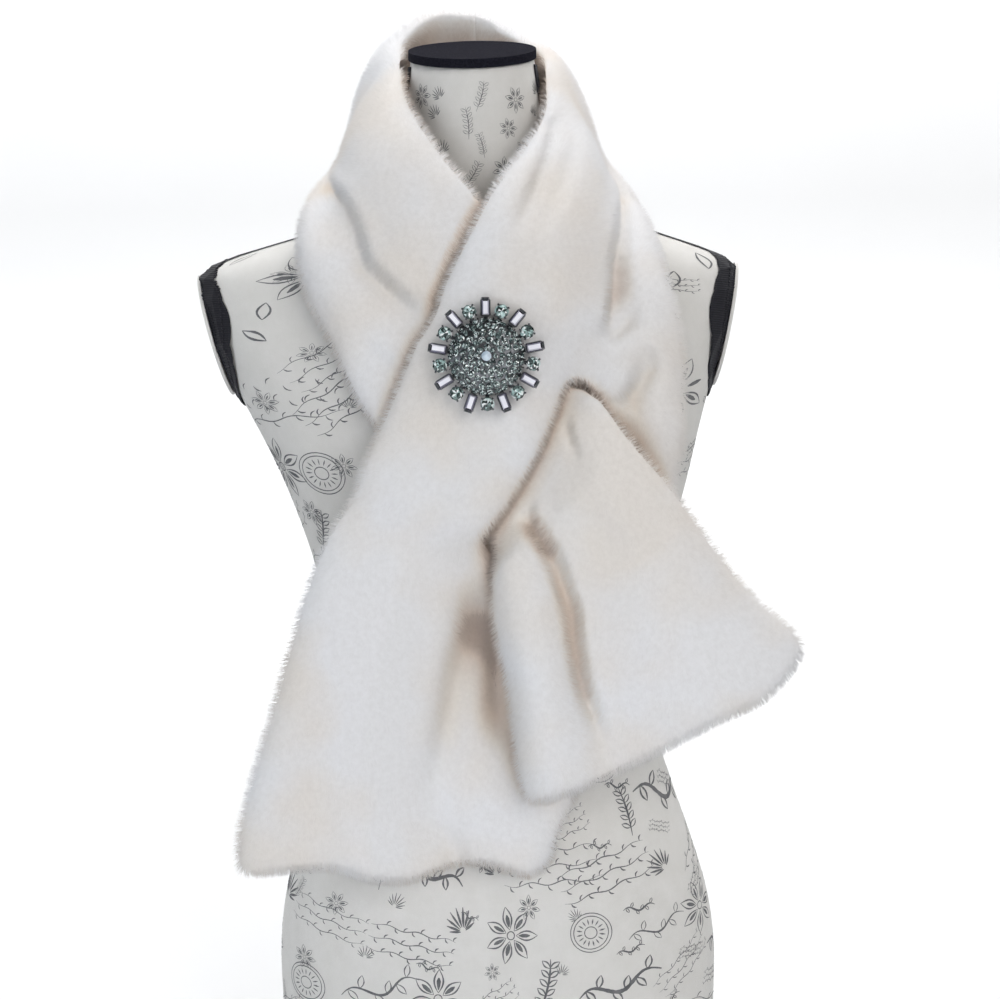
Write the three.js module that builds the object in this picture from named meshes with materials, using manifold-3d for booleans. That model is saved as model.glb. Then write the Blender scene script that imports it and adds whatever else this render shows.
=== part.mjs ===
// A fur collar wrap on a limbless dress form, in millimetres, +Z up, front towards -Y.
// The origin is the middle of the form's flat base. "Left" and "right" are the viewer's.
// The wrap is one long strip of double-sided plush fur. One end, the under strand, goes
// behind the other and comes out through a keyhole slit in it; a brooch sits on the crossing.
import * as THREE from "three";
import { mergeVertices } from "three/addons/utils/BufferGeometryUtils.js";
import Module from "manifold-3d";

const wasm = await Module();
wasm.setup();

// Driving dimensions
const SEAM_GAP = 0.3;
const FUR_GAP = 0.4;
const FUR_STEP = 16;
const FUR_HALF_COLUMNS = 8;
const EDGE_ROUND = 15;
const INNER_FOLLOW = 0.85;
const FORM_SIDES = 40;
const FORM_STEP = 30;
const TRIM_LIFT = 0.3;
const TRIM_THICK = 0.9;
const FUR_OVER_FORM = 1.7;
const CAP_THICK = 6;
const CAP_OVERHANG = 1.5;
const NECK_TILT = 0.167;
const NECK_TILTS_FROM = 668;
const HEM_DROPS_FROM = 0.7;
const EDGE_KEEP = 0.02;
// The hem's rounding takes closer rings, at these shares of its radius from the end.
const HEM_RINGS = [1, 0.55, 0.2, 0.05];
const HEM_CLEAR = 1.3;

const COLOURS = {
  fur: { color: 0xf4f1ec, roughness: 0.95, metalness: 0 },
  linen: { color: 0xd9d2c3, roughness: 0.85, metalness: 0 },
  ribbon: { color: 0x111117, roughness: 0.7, metalness: 0 },
  setting: { color: 0x4a4e55, roughness: 0.35, metalness: 0.9 },
  baguette: { color: 0xd6d4e4, roughness: 0.08, metalness: 0 },
  stone: { color: 0xa9c4bd, roughness: 0.1, metalness: 0 },
};

// Each row is a level cut through the form: height, half width, depth in front and behind,
// the middle's offset to the side, and how square the outline is (2 is an ellipse).
const FORM_SECTIONS = [
  { z: 0, half: 152, front: 98, back: 96, middle: 2, square: 2.2 },
  { z: 25, half: 158, front: 101, back: 100, middle: 2, square: 2.2 },
  { z: 75, half: 162, front: 103, back: 104, middle: 2, square: 2.2 },
  { z: 130, half: 160, front: 101, back: 104, middle: 2, square: 2.2 },
  { z: 180, half: 148, front: 97, back: 98, middle: 1, square: 2.2 },
  { z: 240, half: 129, front: 86, back: 84, middle: 0, square: 2.2 },
  { z: 300, half: 114, front: 78, back: 74, middle: 0, square: 2.2 },
  { z: 350, half: 115, front: 78, back: 74, middle: 0, square: 2.2 },
  { z: 403, half: 127, front: 82, back: 76, middle: 2, square: 2.2 },
  { z: 445, half: 141, front: 88, back: 79, middle: 3, square: 2.3 },
  { z: 485, half: 153, front: 90, back: 81, middle: -1, square: 2.4 },
  { z: 525, half: 169, front: 85, back: 82, middle: -6, square: 2.5 },
  { z: 560, half: 187, front: 77, back: 81, middle: -7, square: 2.6 },
  { z: 590, half: 193, front: 68, back: 77, middle: -8, square: 2.5 },
  { z: 604, half: 189, front: 62, back: 72, middle: -9, square: 2.5 },
  { z: 612, half: 179, front: 58, back: 68, middle: -9, square: 2.5 },
  { z: 619, half: 161, front: 56, back: 66, middle: -8, square: 2.5 },
  { z: 627, half: 135, front: 53, back: 63, middle: -5, square: 2.4 },
  { z: 637, half: 102, front: 51, back: 60, middle: 0, square: 2.3 },
  { z: 650, half: 68, front: 49, back: 56, middle: 0, square: 2.2 },
  { z: 668, half: 53, front: 47, back: 52, middle: 0, square: 2.1 },
  { z: 700, half: 48, front: 46, back: 49, middle: -1, square: 2 },
  { z: 728, half: 46, front: 47, back: 47, middle: -2, square: 2 },
  { z: 751, half: 43, front: 47, back: 45, middle: -2, square: 2 },
];

// The flat armholes. Their plane slants, so it is given at two heights, as a place halfway
// between the two sides and a distance from it. The form is cut flat only between two levels.
const ARMHOLE = {
  top: { z: 606, middle: -8.5, away: 188 },
  low: { z: 522, middle: -6.5, away: 169 },
  cutFrom: 500,
  cutTo: 616,
};

// Each armhole's oval cover plate, and the oval in which the ribbon round it ends.
const ARM_PLATE = { y: 1, z: 563, depth: 71, height: 88, thick: 2.2 };
const ARM_RIBBON = { y: 1, z: 565, depth: 95, height: 106 };

// The ribbon over each shoulder and up the neck: the zone of the form that it covers.
const SHOULDER_RIBBON = { from: 20, to: 200, front: -12, back: 4, low: 600, high: 746 };

// Each fur stretch is a table of sections. inner, crease and outer are places on the
// strip's middle layer; roll and lobe are how far it swells on each side of the crease.
const UNDER_COLLAR = [
  { inner: [0, 66, 791], crease: [0, 84, 700], outer: [0, 100, 592], roll: 6, lobe: 6, wall: 22 },
  { inner: [-30, 61, 791], crease: [-46, 80, 706], outer: [-62, 98, 598], roll: 6, lobe: 6, wall: 22 },
  { inner: [-53, 38, 770], crease: [-78, 58, 692], outer: [-104, 84, 618], roll: 8, lobe: 6, wall: 22 },
  { inner: [-50, 4, 757], crease: [-91, 6, 665], outer: [-118, 6, 642], roll: 11, lobe: 7, wall: 22 },
  { inner: [-47, -36, 738], crease: [-94, -52, 651], outer: [-121, -57, 612], roll: 11, lobe: 9, wall: 22 },
  { inner: [-34, -60, 712], crease: [-88, -74, 634], outer: [-117, -76, 588], roll: 12, lobe: 9, wall: 22 },
  { inner: [-16, -76, 686], crease: [-70, -88, 606], outer: [-102, -86, 558], roll: 10, lobe: 8, wall: 21 },
  { inner: [4, -87, 662], crease: [-46, -97, 582], outer: [-86, -94, 522], roll: 4, lobe: 4, wall: 20 },
  { inner: [24, -94, 630], crease: [-20, -100, 554], outer: [-58, -99, 484], roll: 0, lobe: 0, wall: 18 },
  { inner: [46, -100, 590], crease: [8, -103, 520], outer: [-26, -103, 446], roll: 0, lobe: 0, wall: 16 },
  { inner: [66, -110, 548], crease: [36, -109, 486], outer: [6, -109, 428], roll: 0, lobe: 0, wall: 16 },
];

const UNDER_TAIL = [
  { inner: [6, -109, 428], crease: [36, -109, 486], outer: [66, -110, 548], roll: 0, lobe: 0, wall: 16 },
  { inner: [-2, -124, 404], crease: [44, -126, 432], outer: [98, -127, 508], roll: 11, lobe: 8, wall: 20 },
  { inner: [0, -127, 374], crease: [54, -127, 402], outer: [130, -126, 468], roll: 15, lobe: 10, wall: 22 },
  { inner: [7, -128, 340], crease: [60, -128, 366], outer: [158, -123, 427], roll: 16, lobe: 10, wall: 22 },
  { inner: [11, -129, 304], crease: [66, -129, 330], outer: [188, -119, 389], roll: 15, lobe: 10, wall: 22 },
  { inner: [14, -130, 276], crease: [73, -130, 302], outer: [207, -116, 374], roll: 13, lobe: 10, wall: 22 },
  { inner: [22, -130, 248], crease: [82, -131, 270], outer: [221, -113, 352], roll: 10, lobe: 9, wall: 22 },
];

const OVER_COLLAR = [
  { inner: [0, 66, 791], crease: [0, 84, 700], outer: [0, 100, 592], roll: 6, lobe: 6, wall: 22 },
  { inner: [29, 61, 773], crease: [46, 80, 702], outer: [62, 98, 598], roll: 6, lobe: 6, wall: 22 },
  { inner: [46, 38, 760], crease: [76, 56, 686], outer: [106, 84, 616], roll: 5, lobe: 6, wall: 20 },
  { inner: [47, 4, 749], crease: [87, 6, 657], outer: [114, 4, 637], roll: 9, lobe: 4, wall: 20 },
  { inner: [45, -42, 722], crease: [90, -56, 638], outer: [128, -62, 604], roll: 12, lobe: 6, wall: 20 },
  { inner: [33, -68, 700], crease: [89, -84, 602], outer: [137, -76, 568], roll: 15, lobe: 9, wall: 22 },
  { inner: [7, -94, 668], crease: [83, -96, 572], outer: [140, -80, 545], roll: 16, lobe: 9, wall: 22 },
  { inner: [-14, -106, 632], crease: [76, -100, 556], outer: [141, -80, 533], roll: 15, lobe: 9, wall: 22 },
  { inner: [-38, -112, 586], crease: [66, -104, 541], outer: [140, -81, 518], roll: 14, lobe: 8, wall: 22 },
];

const OVER_BAND = [
  { inner: [-38, -112, 586], crease: [12, -124, 565], outer: [62, -108, 541], roll: 3, lobe: 3, wall: 22 },
  { inner: [-58, -114, 541], crease: [-6, -127, 520], outer: [45, -119, 497], roll: 3, lobe: 3, wall: 22 },
  { inner: [-76, -115, 502], crease: [-25, -126, 480], outer: [23, -120, 459], roll: 3, lobe: 3, wall: 22 },
  { inner: [-93, -116, 468], crease: [-46, -124, 446], outer: [-3, -117, 425], roll: 3, lobe: 2, wall: 22 },
];

const OUTER_BAND = [
  { inner: [68, -101, 538], crease: [104, -103, 529], outer: [140, -81, 518], roll: 2, lobe: 2, wall: 22 },
  { inner: [62, -99, 498], crease: [100, -98, 484], outer: [137, -85, 484], roll: 2, lobe: 6, wall: 18 },
  { inner: [44, -99, 458], crease: [88, -98, 440], outer: [129, -90, 434], roll: 0, lobe: 3, wall: 18 },
  { inner: [6, -101, 421], crease: [62, -98, 405], outer: [114, -94, 392], roll: 0, lobe: 0, wall: 18 },
];

const OVER_TAIL = [
  { inner: [-93, -116, 468], crease: [-3, -109, 423], outer: [114, -94, 392], roll: 10, lobe: 0, wall: 20 },
  { inner: [-114, -118, 430], crease: [-12, -107, 390], outer: [104, -95, 352], roll: 12, lobe: 0, wall: 20 },
  { inner: [-131, -119, 384], crease: [-22, -105, 347], outer: [92, -97, 316], roll: 14, lobe: 3, wall: 21 },
  { inner: [-147, -120, 332], crease: [-32, -104, 300], outer: [78, -99, 282], roll: 15, lobe: 5, wall: 22 },
  { inner: [-163, -120, 282], crease: [-40, -104, 256], outer: [64, -102, 250], roll: 15, lobe: 8, wall: 22 },
  { inner: [-176, -120, 238], crease: [-34, -106, 226], outer: [50, -106, 224], roll: 14, lobe: 9, wall: 22 },
  { inner: [-180, -119, 198], crease: [-24, -108, 205], outer: [44, -107, 196], roll: 12, lobe: 9, wall: 22 },
];

// Smaller folds, each a soft trough in the outer face between two places on its stretch.
// along and across run from 0 to 1; width and depth are millimetres.
const FOLDS = {
  over_collar: [
    { along: [0.5, 0.84], across: [0.13, 0.27], width: 7, depth: 8 },
    { along: [0.62, 0.72], across: [0.62, 0.74], width: 8, depth: 9 },
    { along: [0.8, 1], across: [0.78, 0.74], width: 8, depth: 10 },
  ],
  outer_band: [{ along: [0, 0.3], across: [0.42, 0.3], width: 8, depth: 8 }],
  under_tail: [
    { along: [0, 0.3], across: [0.72, 0.6], width: 7, depth: 6 },
    { along: [0.08, 0.34], across: [0.9, 0.82], width: 8, depth: 4 },
  ],
  over_tail: [{ along: [0.5, 0.98], across: [0.27, 0.3], width: 16, depth: 4 }],
};

// Where a hem hangs lower than its corners: the place across, how wide, and how far down.
const HEM_DIPS = {
  over_tail: [
    { across: 0.51, width: 0.14, drop: 22 },
    { across: 0.9, width: 0.08, drop: 8 },
  ],
  under_tail: [{ across: 0.8, width: 0.12, drop: 8 }],
};

const STRETCHES = [
  { name: "over_collar", rows: OVER_COLLAR, facing: 1, fromBack: true, cutBy: [] },
  { name: "over_band", rows: OVER_BAND, facing: 1, cutBy: ["over_collar"] },
  { name: "outer_band", rows: OUTER_BAND, facing: 1, cutBy: ["over_collar", "over_band"] },
  {
    name: "over_tail",
    rows: OVER_TAIL,
    facing: 1,
    hem: true,
    cutBy: ["over_band", "outer_band"],
  },
  {
    name: "under_collar",
    rows: UNDER_COLLAR,
    facing: -1,
    fromBack: true,
    cutBy: ["over_collar", "over_band", "outer_band", "over_tail"],
  },
  {
    name: "under_tail",
    rows: UNDER_TAIL,
    facing: 1,
    hem: true,
    cutBy: ["under_collar", "over_collar", "over_band", "outer_band", "over_tail"],
  },
];

// Closed meshes and cutting

function volumeOf(positions, indices) {
  let six = 0;
  const corner = [0, 1, 2].map(() => new THREE.Vector3());
  for (let i = 0; i < indices.length; i += 3) {
    corner.forEach((p, k) => p.fromArray(positions, 3 * indices[i + k]));
    six += corner[0].dot(corner[1].clone().cross(corner[2]));
  }
  return six / 6;
}

function geometryFrom(positions, indices) {
  const faces = indices.slice();
  if (volumeOf(positions, faces) < 0) {
    for (let i = 0; i < faces.length; i += 3) {
      [faces[i + 1], faces[i + 2]] = [faces[i + 2], faces[i + 1]];
    }
  }
  const geometry = new THREE.BufferGeometry();
  geometry.setAttribute("position", new THREE.Float32BufferAttribute(positions, 3));
  geometry.setIndex(faces);
  geometry.computeVertexNormals();
  return geometry;
}

// A skin over closed rings of points; capFaces gives the triangles of an end ring.
function loft(rings, capFaces) {
  const count = rings[0].length;
  const positions = rings.flat().flatMap((p) => [p.x, p.y, p.z]);
  const indices = [];
  for (let i = 0; i + 1 < rings.length; i += 1) {
    for (let k = 0; k < count; k += 1) {
      const next = (k + 1) % count;
      const [a, b] = [i * count + k, i * count + next];
      const [c, d] = [a + count, b + count];
      indices.push(a, b, d, a, d, c);
    }
  }
  const last = (rings.length - 1) * count;
  for (const [a, b, c] of capFaces) {
    indices.push(a, c, b, last + a, last + b, last + c);
  }
  return geometryFrom(positions, indices);
}

function solidOf(geometry) {
  const bare = geometry.clone();
  bare.deleteAttribute("normal");
  bare.deleteAttribute("uv");
  const merged = mergeVertices(bare, 1e-3);
  return new wasm.Manifold(
    new wasm.Mesh({
      numProp: 3,
      vertProperties: merged.attributes.position.array,
      triVerts: new Uint32Array(merged.index.array),
    }),
  );
}

function geometryOf(solid) {
  const mesh = solid.getMesh();
  const geometry = new THREE.BufferGeometry();
  geometry.setAttribute("position", new THREE.Float32BufferAttribute(mesh.vertProperties, 3));
  geometry.setIndex(Array.from(mesh.triVerts));
  geometry.computeVertexNormals();
  return geometry;
}

function box(from, to) {
  const size = to.map((v, i) => v - from[i]);
  const middle = to.map((v, i) => (v + from[i]) / 2);
  return new THREE.BoxGeometry(...size).translate(...middle);
}

// The dress form

function mix(a, b, t) {
  return a + (b - a) * t;
}

// A smooth value between the rows of a table, by a curve through its neighbours.
function smoothColumn(table, column, z) {
  let i = 0;
  while (i < table.length - 2 && table[i + 1].z <= z) i += 1;
  const [p, q] = [table[i], table[i + 1]];
  const before = table[Math.max(i - 1, 0)];
  const after = table[Math.min(i + 2, table.length - 1)];
  const span = q.z - p.z;
  const t = (z - p.z) / span;
  const slopeP = (q[column] - before[column]) / (q.z - before.z);
  const slopeQ = (after[column] - p[column]) / (after.z - p.z);
  const start = p[column] * (2 * t ** 3 - 3 * t ** 2 + 1) + q[column] * (3 * t ** 2 - 2 * t ** 3);
  return start + span * (slopeP * (t ** 3 - 2 * t ** 2 + t) + slopeQ * (t ** 3 - t ** 2));
}

// Where the armhole's plane crosses a level, on the viewer's left (-1) or right (1).
function armholeX(sign, z) {
  const { top, low } = ARMHOLE;
  const t = (z - low.z) / (top.z - low.z);
  return mix(low.middle, top.middle, t) + sign * mix(low.away, top.away, t);
}

function power(value, exponent) {
  return Math.sign(value) * Math.abs(value) ** exponent;
}

// One ring of the form at a height, with its surface moved out by grow.
function formRing(z, grow) {
  const at = (column) => smoothColumn(FORM_SECTIONS, column, z);
  const exponent = 2 / at("square");
  const top = FORM_SECTIONS.at(-1).z;
  const lean = NECK_TILT * THREE.MathUtils.smoothstep(z, NECK_TILTS_FROM, top);
  const ring = [];
  for (let k = 0; k < FORM_SIDES; k += 1) {
    const angle = (2 * Math.PI * k) / FORM_SIDES;
    const side = power(Math.cos(angle), exponent) * (at("half") + grow);
    const depth = Math.sin(angle) < 0 ? at("front") : at("back");
    const y = power(Math.sin(angle), exponent) * (depth + grow);
    let x = at("middle") + side;
    if (z > ARMHOLE.cutFrom && z < ARMHOLE.cutTo) {
      x = THREE.MathUtils.clamp(x, armholeX(-1, z) - grow, armholeX(1, z) + grow);
    }
    ring.push(new THREE.Vector3(x, y, z + lean * y));
  }
  return ring;
}

function fanCap(count) {
  return Array.from({ length: count - 2 }, (_, k) => [0, k + 1, k + 2]);
}

function formHeights() {
  const heights = [];
  for (let i = 0; i + 1 < FORM_SECTIONS.length; i += 1) {
    const [low, high] = [FORM_SECTIONS[i].z, FORM_SECTIONS[i + 1].z];
    const steps = Math.max(1, Math.round((high - low) / FORM_STEP));
    for (let s = 0; s < steps; s += 1) heights.push(mix(low, high, s / steps));
  }
  heights.push(FORM_SECTIONS.at(-1).z);
  return heights;
}

function form(grow = 0) {
  return loft(formHeights().map((z) => formRing(z, grow)), fanCap(FORM_SIDES));
}

// A thin skin that lies on the form, kept only inside one solid and outside others.
function trimOnForm(zone, without) {
  let skin = solidOf(form(TRIM_LIFT + TRIM_THICK)).subtract(solidOf(form(TRIM_LIFT)));
  skin = skin.intersect(solidOf(zone));
  for (const cutter of without) skin = skin.subtract(solidOf(cutter));
  return largestOf(skin);
}

// All that lies outside the armhole's plane.
function beyondArmhole(sign) {
  const reach = 60;
  const depth = 120;
  const corners = (z) => {
    const [near, far] = [armholeX(sign, z), armholeX(sign, z) + sign * reach];
    return [
      new THREE.Vector3(near, -depth, z),
      new THREE.Vector3(far, -depth, z),
      new THREE.Vector3(far, depth, z),
      new THREE.Vector3(near, depth, z),
    ];
  };
  return loft([corners(ARMHOLE.cutFrom), corners(ARMHOLE.cutTo)], fanCap(4));
}

// An upright oval disc that faces sideways.
function ovalDisc(size, thick) {
  const disc = new THREE.CylinderGeometry(0.5, 0.5, thick, 48);
  disc.rotateZ(Math.PI / 2);
  disc.scale(1, size.depth, size.height);
  return disc;
}

function armPlate(sign) {
  const plate = ovalDisc(ARM_PLATE, ARM_PLATE.thick);
  const { top, low } = ARMHOLE;
  const run = armholeX(sign, top.z) - armholeX(sign, low.z);
  plate.rotateY(Math.atan2(run, top.z - low.z));
  const stand = sign * (SEAM_GAP + ARM_PLATE.thick / 2);
  return plate.translate(armholeX(sign, ARM_PLATE.z) + stand, ARM_PLATE.y, ARM_PLATE.z);
}

// The oval block that holds the ribbon round an armhole.
function ribbonZone(sign, grow = 0) {
  const size = { depth: ARM_RIBBON.depth + 2 * grow, height: ARM_RIBBON.height + 2 * grow };
  const zone = ovalDisc(size, 2 * ARM_RIBBON.depth);
  return zone.translate(armholeX(sign, ARM_RIBBON.z), ARM_RIBBON.y, ARM_RIBBON.z);
}

function shoulderZone(sign) {
  const { from, to, front, back, low, high } = SHOULDER_RIBBON;
  const [near, far] = sign < 0 ? [-to, -from] : [from, to];
  return box([near, front, low], [far, back, high]);
}

function neckCap(grow = 0) {
  const top = FORM_SECTIONS.at(-1).z;
  const rings = [SEAM_GAP - grow, SEAM_GAP + CAP_THICK + grow].map((lift) =>
    formRing(top, CAP_OVERHANG + grow).map((p) => p.clone().setZ(p.z + lift)),
  );
  return loft(rings, fanCap(FORM_SIDES));
}

// The fur strip

// Smooth curves down the strip through its three columns. A stretch that starts at the
// back's middle runs over it level, so its second row is mirrored in front of the first.
function curvesOf(rows, fromBack) {
  const through = (column) => {
    const places = rows.map((row) => new THREE.Vector3(...row[column]));
    if (fromBack) places.unshift(places[1].clone().multiply(new THREE.Vector3(-1, 1, 1)));
    return new THREE.CatmullRomCurve3(places);
  };
  return { inner: through("inner"), crease: through("crease"), outer: through("outer") };
}

function columnAlong(rows, column, u) {
  const place = THREE.MathUtils.clamp(u, 0, 1) * (rows.length - 1);
  const i = Math.min(Math.floor(place), rows.length - 2);
  const t = THREE.MathUtils.smootherstep(place - i, 0, 1);
  return mix(rows[i][column], rows[i + 1][column], t);
}

// The section at u: its three places, its width, and where its crease lies from 0 to 1.
function sectionAt(stretch, u) {
  const held = THREE.MathUtils.clamp(u, 0, 1);
  const skipped = stretch.fromBack ? 1 : 0;
  const spans = stretch.rows.length - 1;
  const place = (held * spans + skipped) / (spans + skipped);
  const [inner, crease, outer] = ["inner", "crease", "outer"].map((key) => {
    const point = stretch.curves[key].getPoint(place);
    const drift = stretch.curves[key].getTangent(place).multiplyScalar((u - held) * stretch.length);
    return point.add(drift);
  });
  const first = inner.distanceTo(crease);
  const second = crease.distanceTo(outer);
  const width = first + second;
  return { inner, crease, outer, width, creaseAt: first / width };
}

// The curve through a section's three places.
function across(section, v) {
  const c = section.creaseAt;
  const a = ((v - c) * (v - 1)) / c;
  const b = (v * (v - 1)) / (c * (c - 1));
  const d = (v * (v - c)) / (1 - c);
  return section.inner
    .clone()
    .multiplyScalar(a)
    .addScaledVector(section.crease, b)
    .addScaledVector(section.outer, d);
}

function normalAt(stretch, u, v) {
  const small = 0.01;
  const along = across(sectionAt(stretch, u + small), v).sub(
    across(sectionAt(stretch, u - small), v),
  );
  const section = sectionAt(stretch, u);
  const sideways = across(section, v + small).sub(across(section, v - small));
  return along.cross(sideways).normalize().multiplyScalar(stretch.facing);
}

function roundOff(distance, radius) {
  const left = 1 - THREE.MathUtils.clamp(distance / radius, 0, 1);
  return Math.sqrt(1 - left * left);
}

function foldDepth(stretch, section, u, v) {
  let depth = 0;
  for (const fold of FOLDS[stretch.name] ?? []) {
    const run = new THREE.Vector2(
      (fold.along[1] - fold.along[0]) * stretch.length,
      (fold.across[1] - fold.across[0]) * section.width,
    );
    const here = new THREE.Vector2(
      (u - fold.along[0]) * stretch.length,
      (v - fold.across[0]) * section.width,
    );
    const t = THREE.MathUtils.clamp(here.dot(run) / run.lengthSq(), 0, 1);
    const away = here.distanceTo(run.clone().multiplyScalar(t));
    depth += fold.depth * Math.exp(-((away / fold.width) ** 2));
  }
  return depth;
}

// How far the strip swells at v, as a share of its roll and of its lobe.
function swell(stretch, section, u, v, exponent) {
  const c = section.creaseAt;
  const onRoll = v <= c;
  const s = THREE.MathUtils.clamp(onRoll ? v / c : (v - c) / (1 - c), 0, 1);
  const height = columnAlong(stretch.rows, onRoll ? "roll" : "lobe", u);
  return height * Math.max(Math.sin(Math.PI * s), 0) ** exponent;
}

// How much further along the strip a hem hangs at v, as a share of the stretch.
function hemDrop(stretch, u, v) {
  let drop = 0;
  for (const dip of HEM_DIPS[stretch.name] ?? []) {
    drop += dip.drop * Math.exp(-(((v - dip.across) / dip.width) ** 2));
  }
  return (drop / stretch.length) * THREE.MathUtils.smoothstep(u, HEM_DROPS_FROM, 1);
}

// One closed ring of the strip: the outer face, then the inner face back again.
function furRing(stretch, u, fromHem, grow) {
  const section = sectionAt(stretch, u);
  const hem = stretch.hem ? roundOff(fromHem + grow, EDGE_ROUND) : 1;
  const inset = (1 - hem) * EDGE_ROUND - grow;
  const wall = columnAlong(stretch.rows, "wall", u) / 2 + grow;
  const outerFace = [];
  const innerFace = [];
  const columns = 2 * FUR_HALF_COLUMNS;
  for (let j = 0; j <= columns; j += 1) {
    const half = j <= FUR_HALF_COLUMNS ? j : columns - j;
    const spread = 1 - Math.cos((Math.PI * half) / columns);
    const onRoll = j <= FUR_HALF_COLUMNS;
    const share = onRoll ? spread * section.creaseAt : 1 - spread * (1 - section.creaseAt);
    const edge = inset / section.width;
    const v = mix(edge, 1 - edge, share);
    const nearest = Math.min(share, 1 - share) * section.width;
    const thick = roundOff(nearest, EDGE_ROUND) * hem;
    const point = across(sectionAt(stretch, u + hemDrop(stretch, u, v)), v);
    const normal = normalAt(stretch, u, THREE.MathUtils.clamp(v, EDGE_KEEP, 1 - EDGE_KEEP));
    const out = wall + swell(stretch, section, u, v, 1) - foldDepth(stretch, section, u, v);
    const back = wall - INNER_FOLLOW * swell(stretch, section, u, v, 1.4);
    const shift = (thick * (out - back)) / 2;
    const middle = point.addScaledVector(normal, shift);
    const halfThick = (thick * (out + back)) / 2;
    outerFace.push(middle.clone().addScaledVector(normal, halfThick));
    innerFace.push(middle.clone().addScaledVector(normal, -halfThick));
  }
  return [...outerFace, ...innerFace.slice(1, -1).reverse()];
}

function furCap(count) {
  const faces = [];
  const half = count / 2;
  for (let j = 0; j < half; j += 1) {
    const [a, b] = [j, j + 1];
    const [c, d] = [(count - j) % count, (count - j - 1) % count];
    if (a !== c) faces.push([a, b, c]);
    if (b !== d) faces.push([b, d, c]);
  }
  return faces;
}

function furSolid(stretch, grow = 0) {
  const rings = [];
  const count = Math.max(stretch.rows.length, Math.round(stretch.length / FUR_STEP));
  const trim = (SEAM_GAP / 2 - grow) / stretch.length;
  const end = stretch.hem ? 1 + grow / stretch.length : 1 - trim;
  const places = Array.from({ length: count }, (_, i) => mix(trim, end, i / count));
  if (stretch.hem) {
    const round = EDGE_ROUND / stretch.length;
    const held = places.filter((u) => u < 1 - HEM_CLEAR * round);
    places.splice(0, places.length, ...held, ...HEM_RINGS.map((share) => 1 - share * round));
  }
  places.push(end);
  for (const u of places) rings.push(furRing(stretch, u, (1 - u) * stretch.length, grow));
  return loft(rings, furCap(rings[0].length));
}

function measure(stretch) {
  const curves = curvesOf(stretch.rows, stretch.fromBack);
  const places = stretch.rows.map((row) => new THREE.Vector3(...row.crease));
  const length = places.slice(1).reduce((sum, p, i) => sum + p.distanceTo(places[i]), 0);
  return { ...stretch, curves, length };
}

function furPieces(extraCutters) {
  const measured = STRETCHES.map(measure);
  const bodyClear = solidOf(form(FUR_OVER_FORM));
  const pieces = {};
  for (const stretch of measured) {
    let solid = solidOf(furSolid(stretch)).subtract(bodyClear);
    for (const name of stretch.cutBy) {
      const other = measured.find((candidate) => candidate.name === name);
      solid = solid.subtract(solidOf(furSolid(other, FUR_GAP)));
    }
    for (const cutter of extraCutters[stretch.name] ?? []) {
      solid = solid.subtract(solidOf(cutter));
    }
    pieces[stretch.name] = largestOf(solid);
  }
  return pieces;
}

// A cut can leave crumbs behind; only the largest body is kept.
function largestOf(solid) {
  const bodies = solid.decompose();
  bodies.sort((a, b) => b.volume() - a.volume());
  return geometryOf(bodies[0]);
}

// The brooch, modelled flat with its face up the Z axis, then turned onto the fur

const BROOCH = {
  place: [4, -137, 558],
  tilt: 8,
  arms: 18,
  plateRadius: 22,
  armReach: 34,
  armHalf: 1.3,
  plateThick: 1.6,
  domeRadius: 24,
  domeHeight: 8,
  baguette: { length: 11, width: 5.8, height: 4.2, at: 31.5 },
  round: { radius: 4.7, height: 4.6, at: 30.6 },
  centre: { radius: 3.3, height: 2.6 },
  stoneLift: 0.3,
  bevel: 1.1,
  seatRadius: 39.5,
  seatHeight: 30,
};

function polar(angle, radius) {
  return new THREE.Vector2(Math.cos(angle), Math.sin(angle)).multiplyScalar(radius);
}

function broochPlate() {
  const shape = new THREE.Shape();
  const step = (2 * Math.PI) / BROOCH.arms;
  const half = Math.asin(BROOCH.armHalf / BROOCH.plateRadius);
  for (let i = 0; i < BROOCH.arms; i += 1) {
    const angle = Math.PI / 2 + i * step;
    const tip = polar(angle, BROOCH.armReach);
    const sideways = polar(angle + Math.PI / 2, BROOCH.armHalf);
    const foot = (turn) => polar(angle + turn, BROOCH.plateRadius);
    const points = [foot(-half), tip.clone().sub(sideways), tip.clone().add(sideways), foot(half)];
    for (const point of points) {
      if (i === 0 && point === points[0]) shape.moveTo(point.x, point.y);
      else shape.lineTo(point.x, point.y);
    }
  }
  shape.closePath();
  return new THREE.ExtrudeGeometry(shape, { depth: BROOCH.plateThick, bevelEnabled: false });
}

function lathe(profile, sides) {
  const points = profile.map(([r, z]) => new THREE.Vector2(r, z));
  return new THREE.LatheGeometry(points, sides).rotateX(Math.PI / 2);
}

function broochDome() {
  const base = BROOCH.plateThick + BROOCH.stoneLift;
  const { domeRadius: r, domeHeight: h } = BROOCH;
  const steps = 6;
  const profile = [[0, base]];
  for (let i = 0; i <= steps; i += 1) {
    const angle = (Math.PI / 2) * (i / steps);
    profile.push([r * Math.cos(angle), base + 1 + (h - 1) * Math.sin(angle)]);
  }
  profile.at(-1)[0] = 0;
  return lathe(profile, 28);
}

function roundStone(radius, height, lift) {
  const profile = [
    [0, lift],
    [radius * 0.75, lift],
    [radius, lift + height * 0.55],
    [radius * 0.62, lift + height],
    [0, lift + height],
  ];
  return lathe(profile, 10);
}

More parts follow.
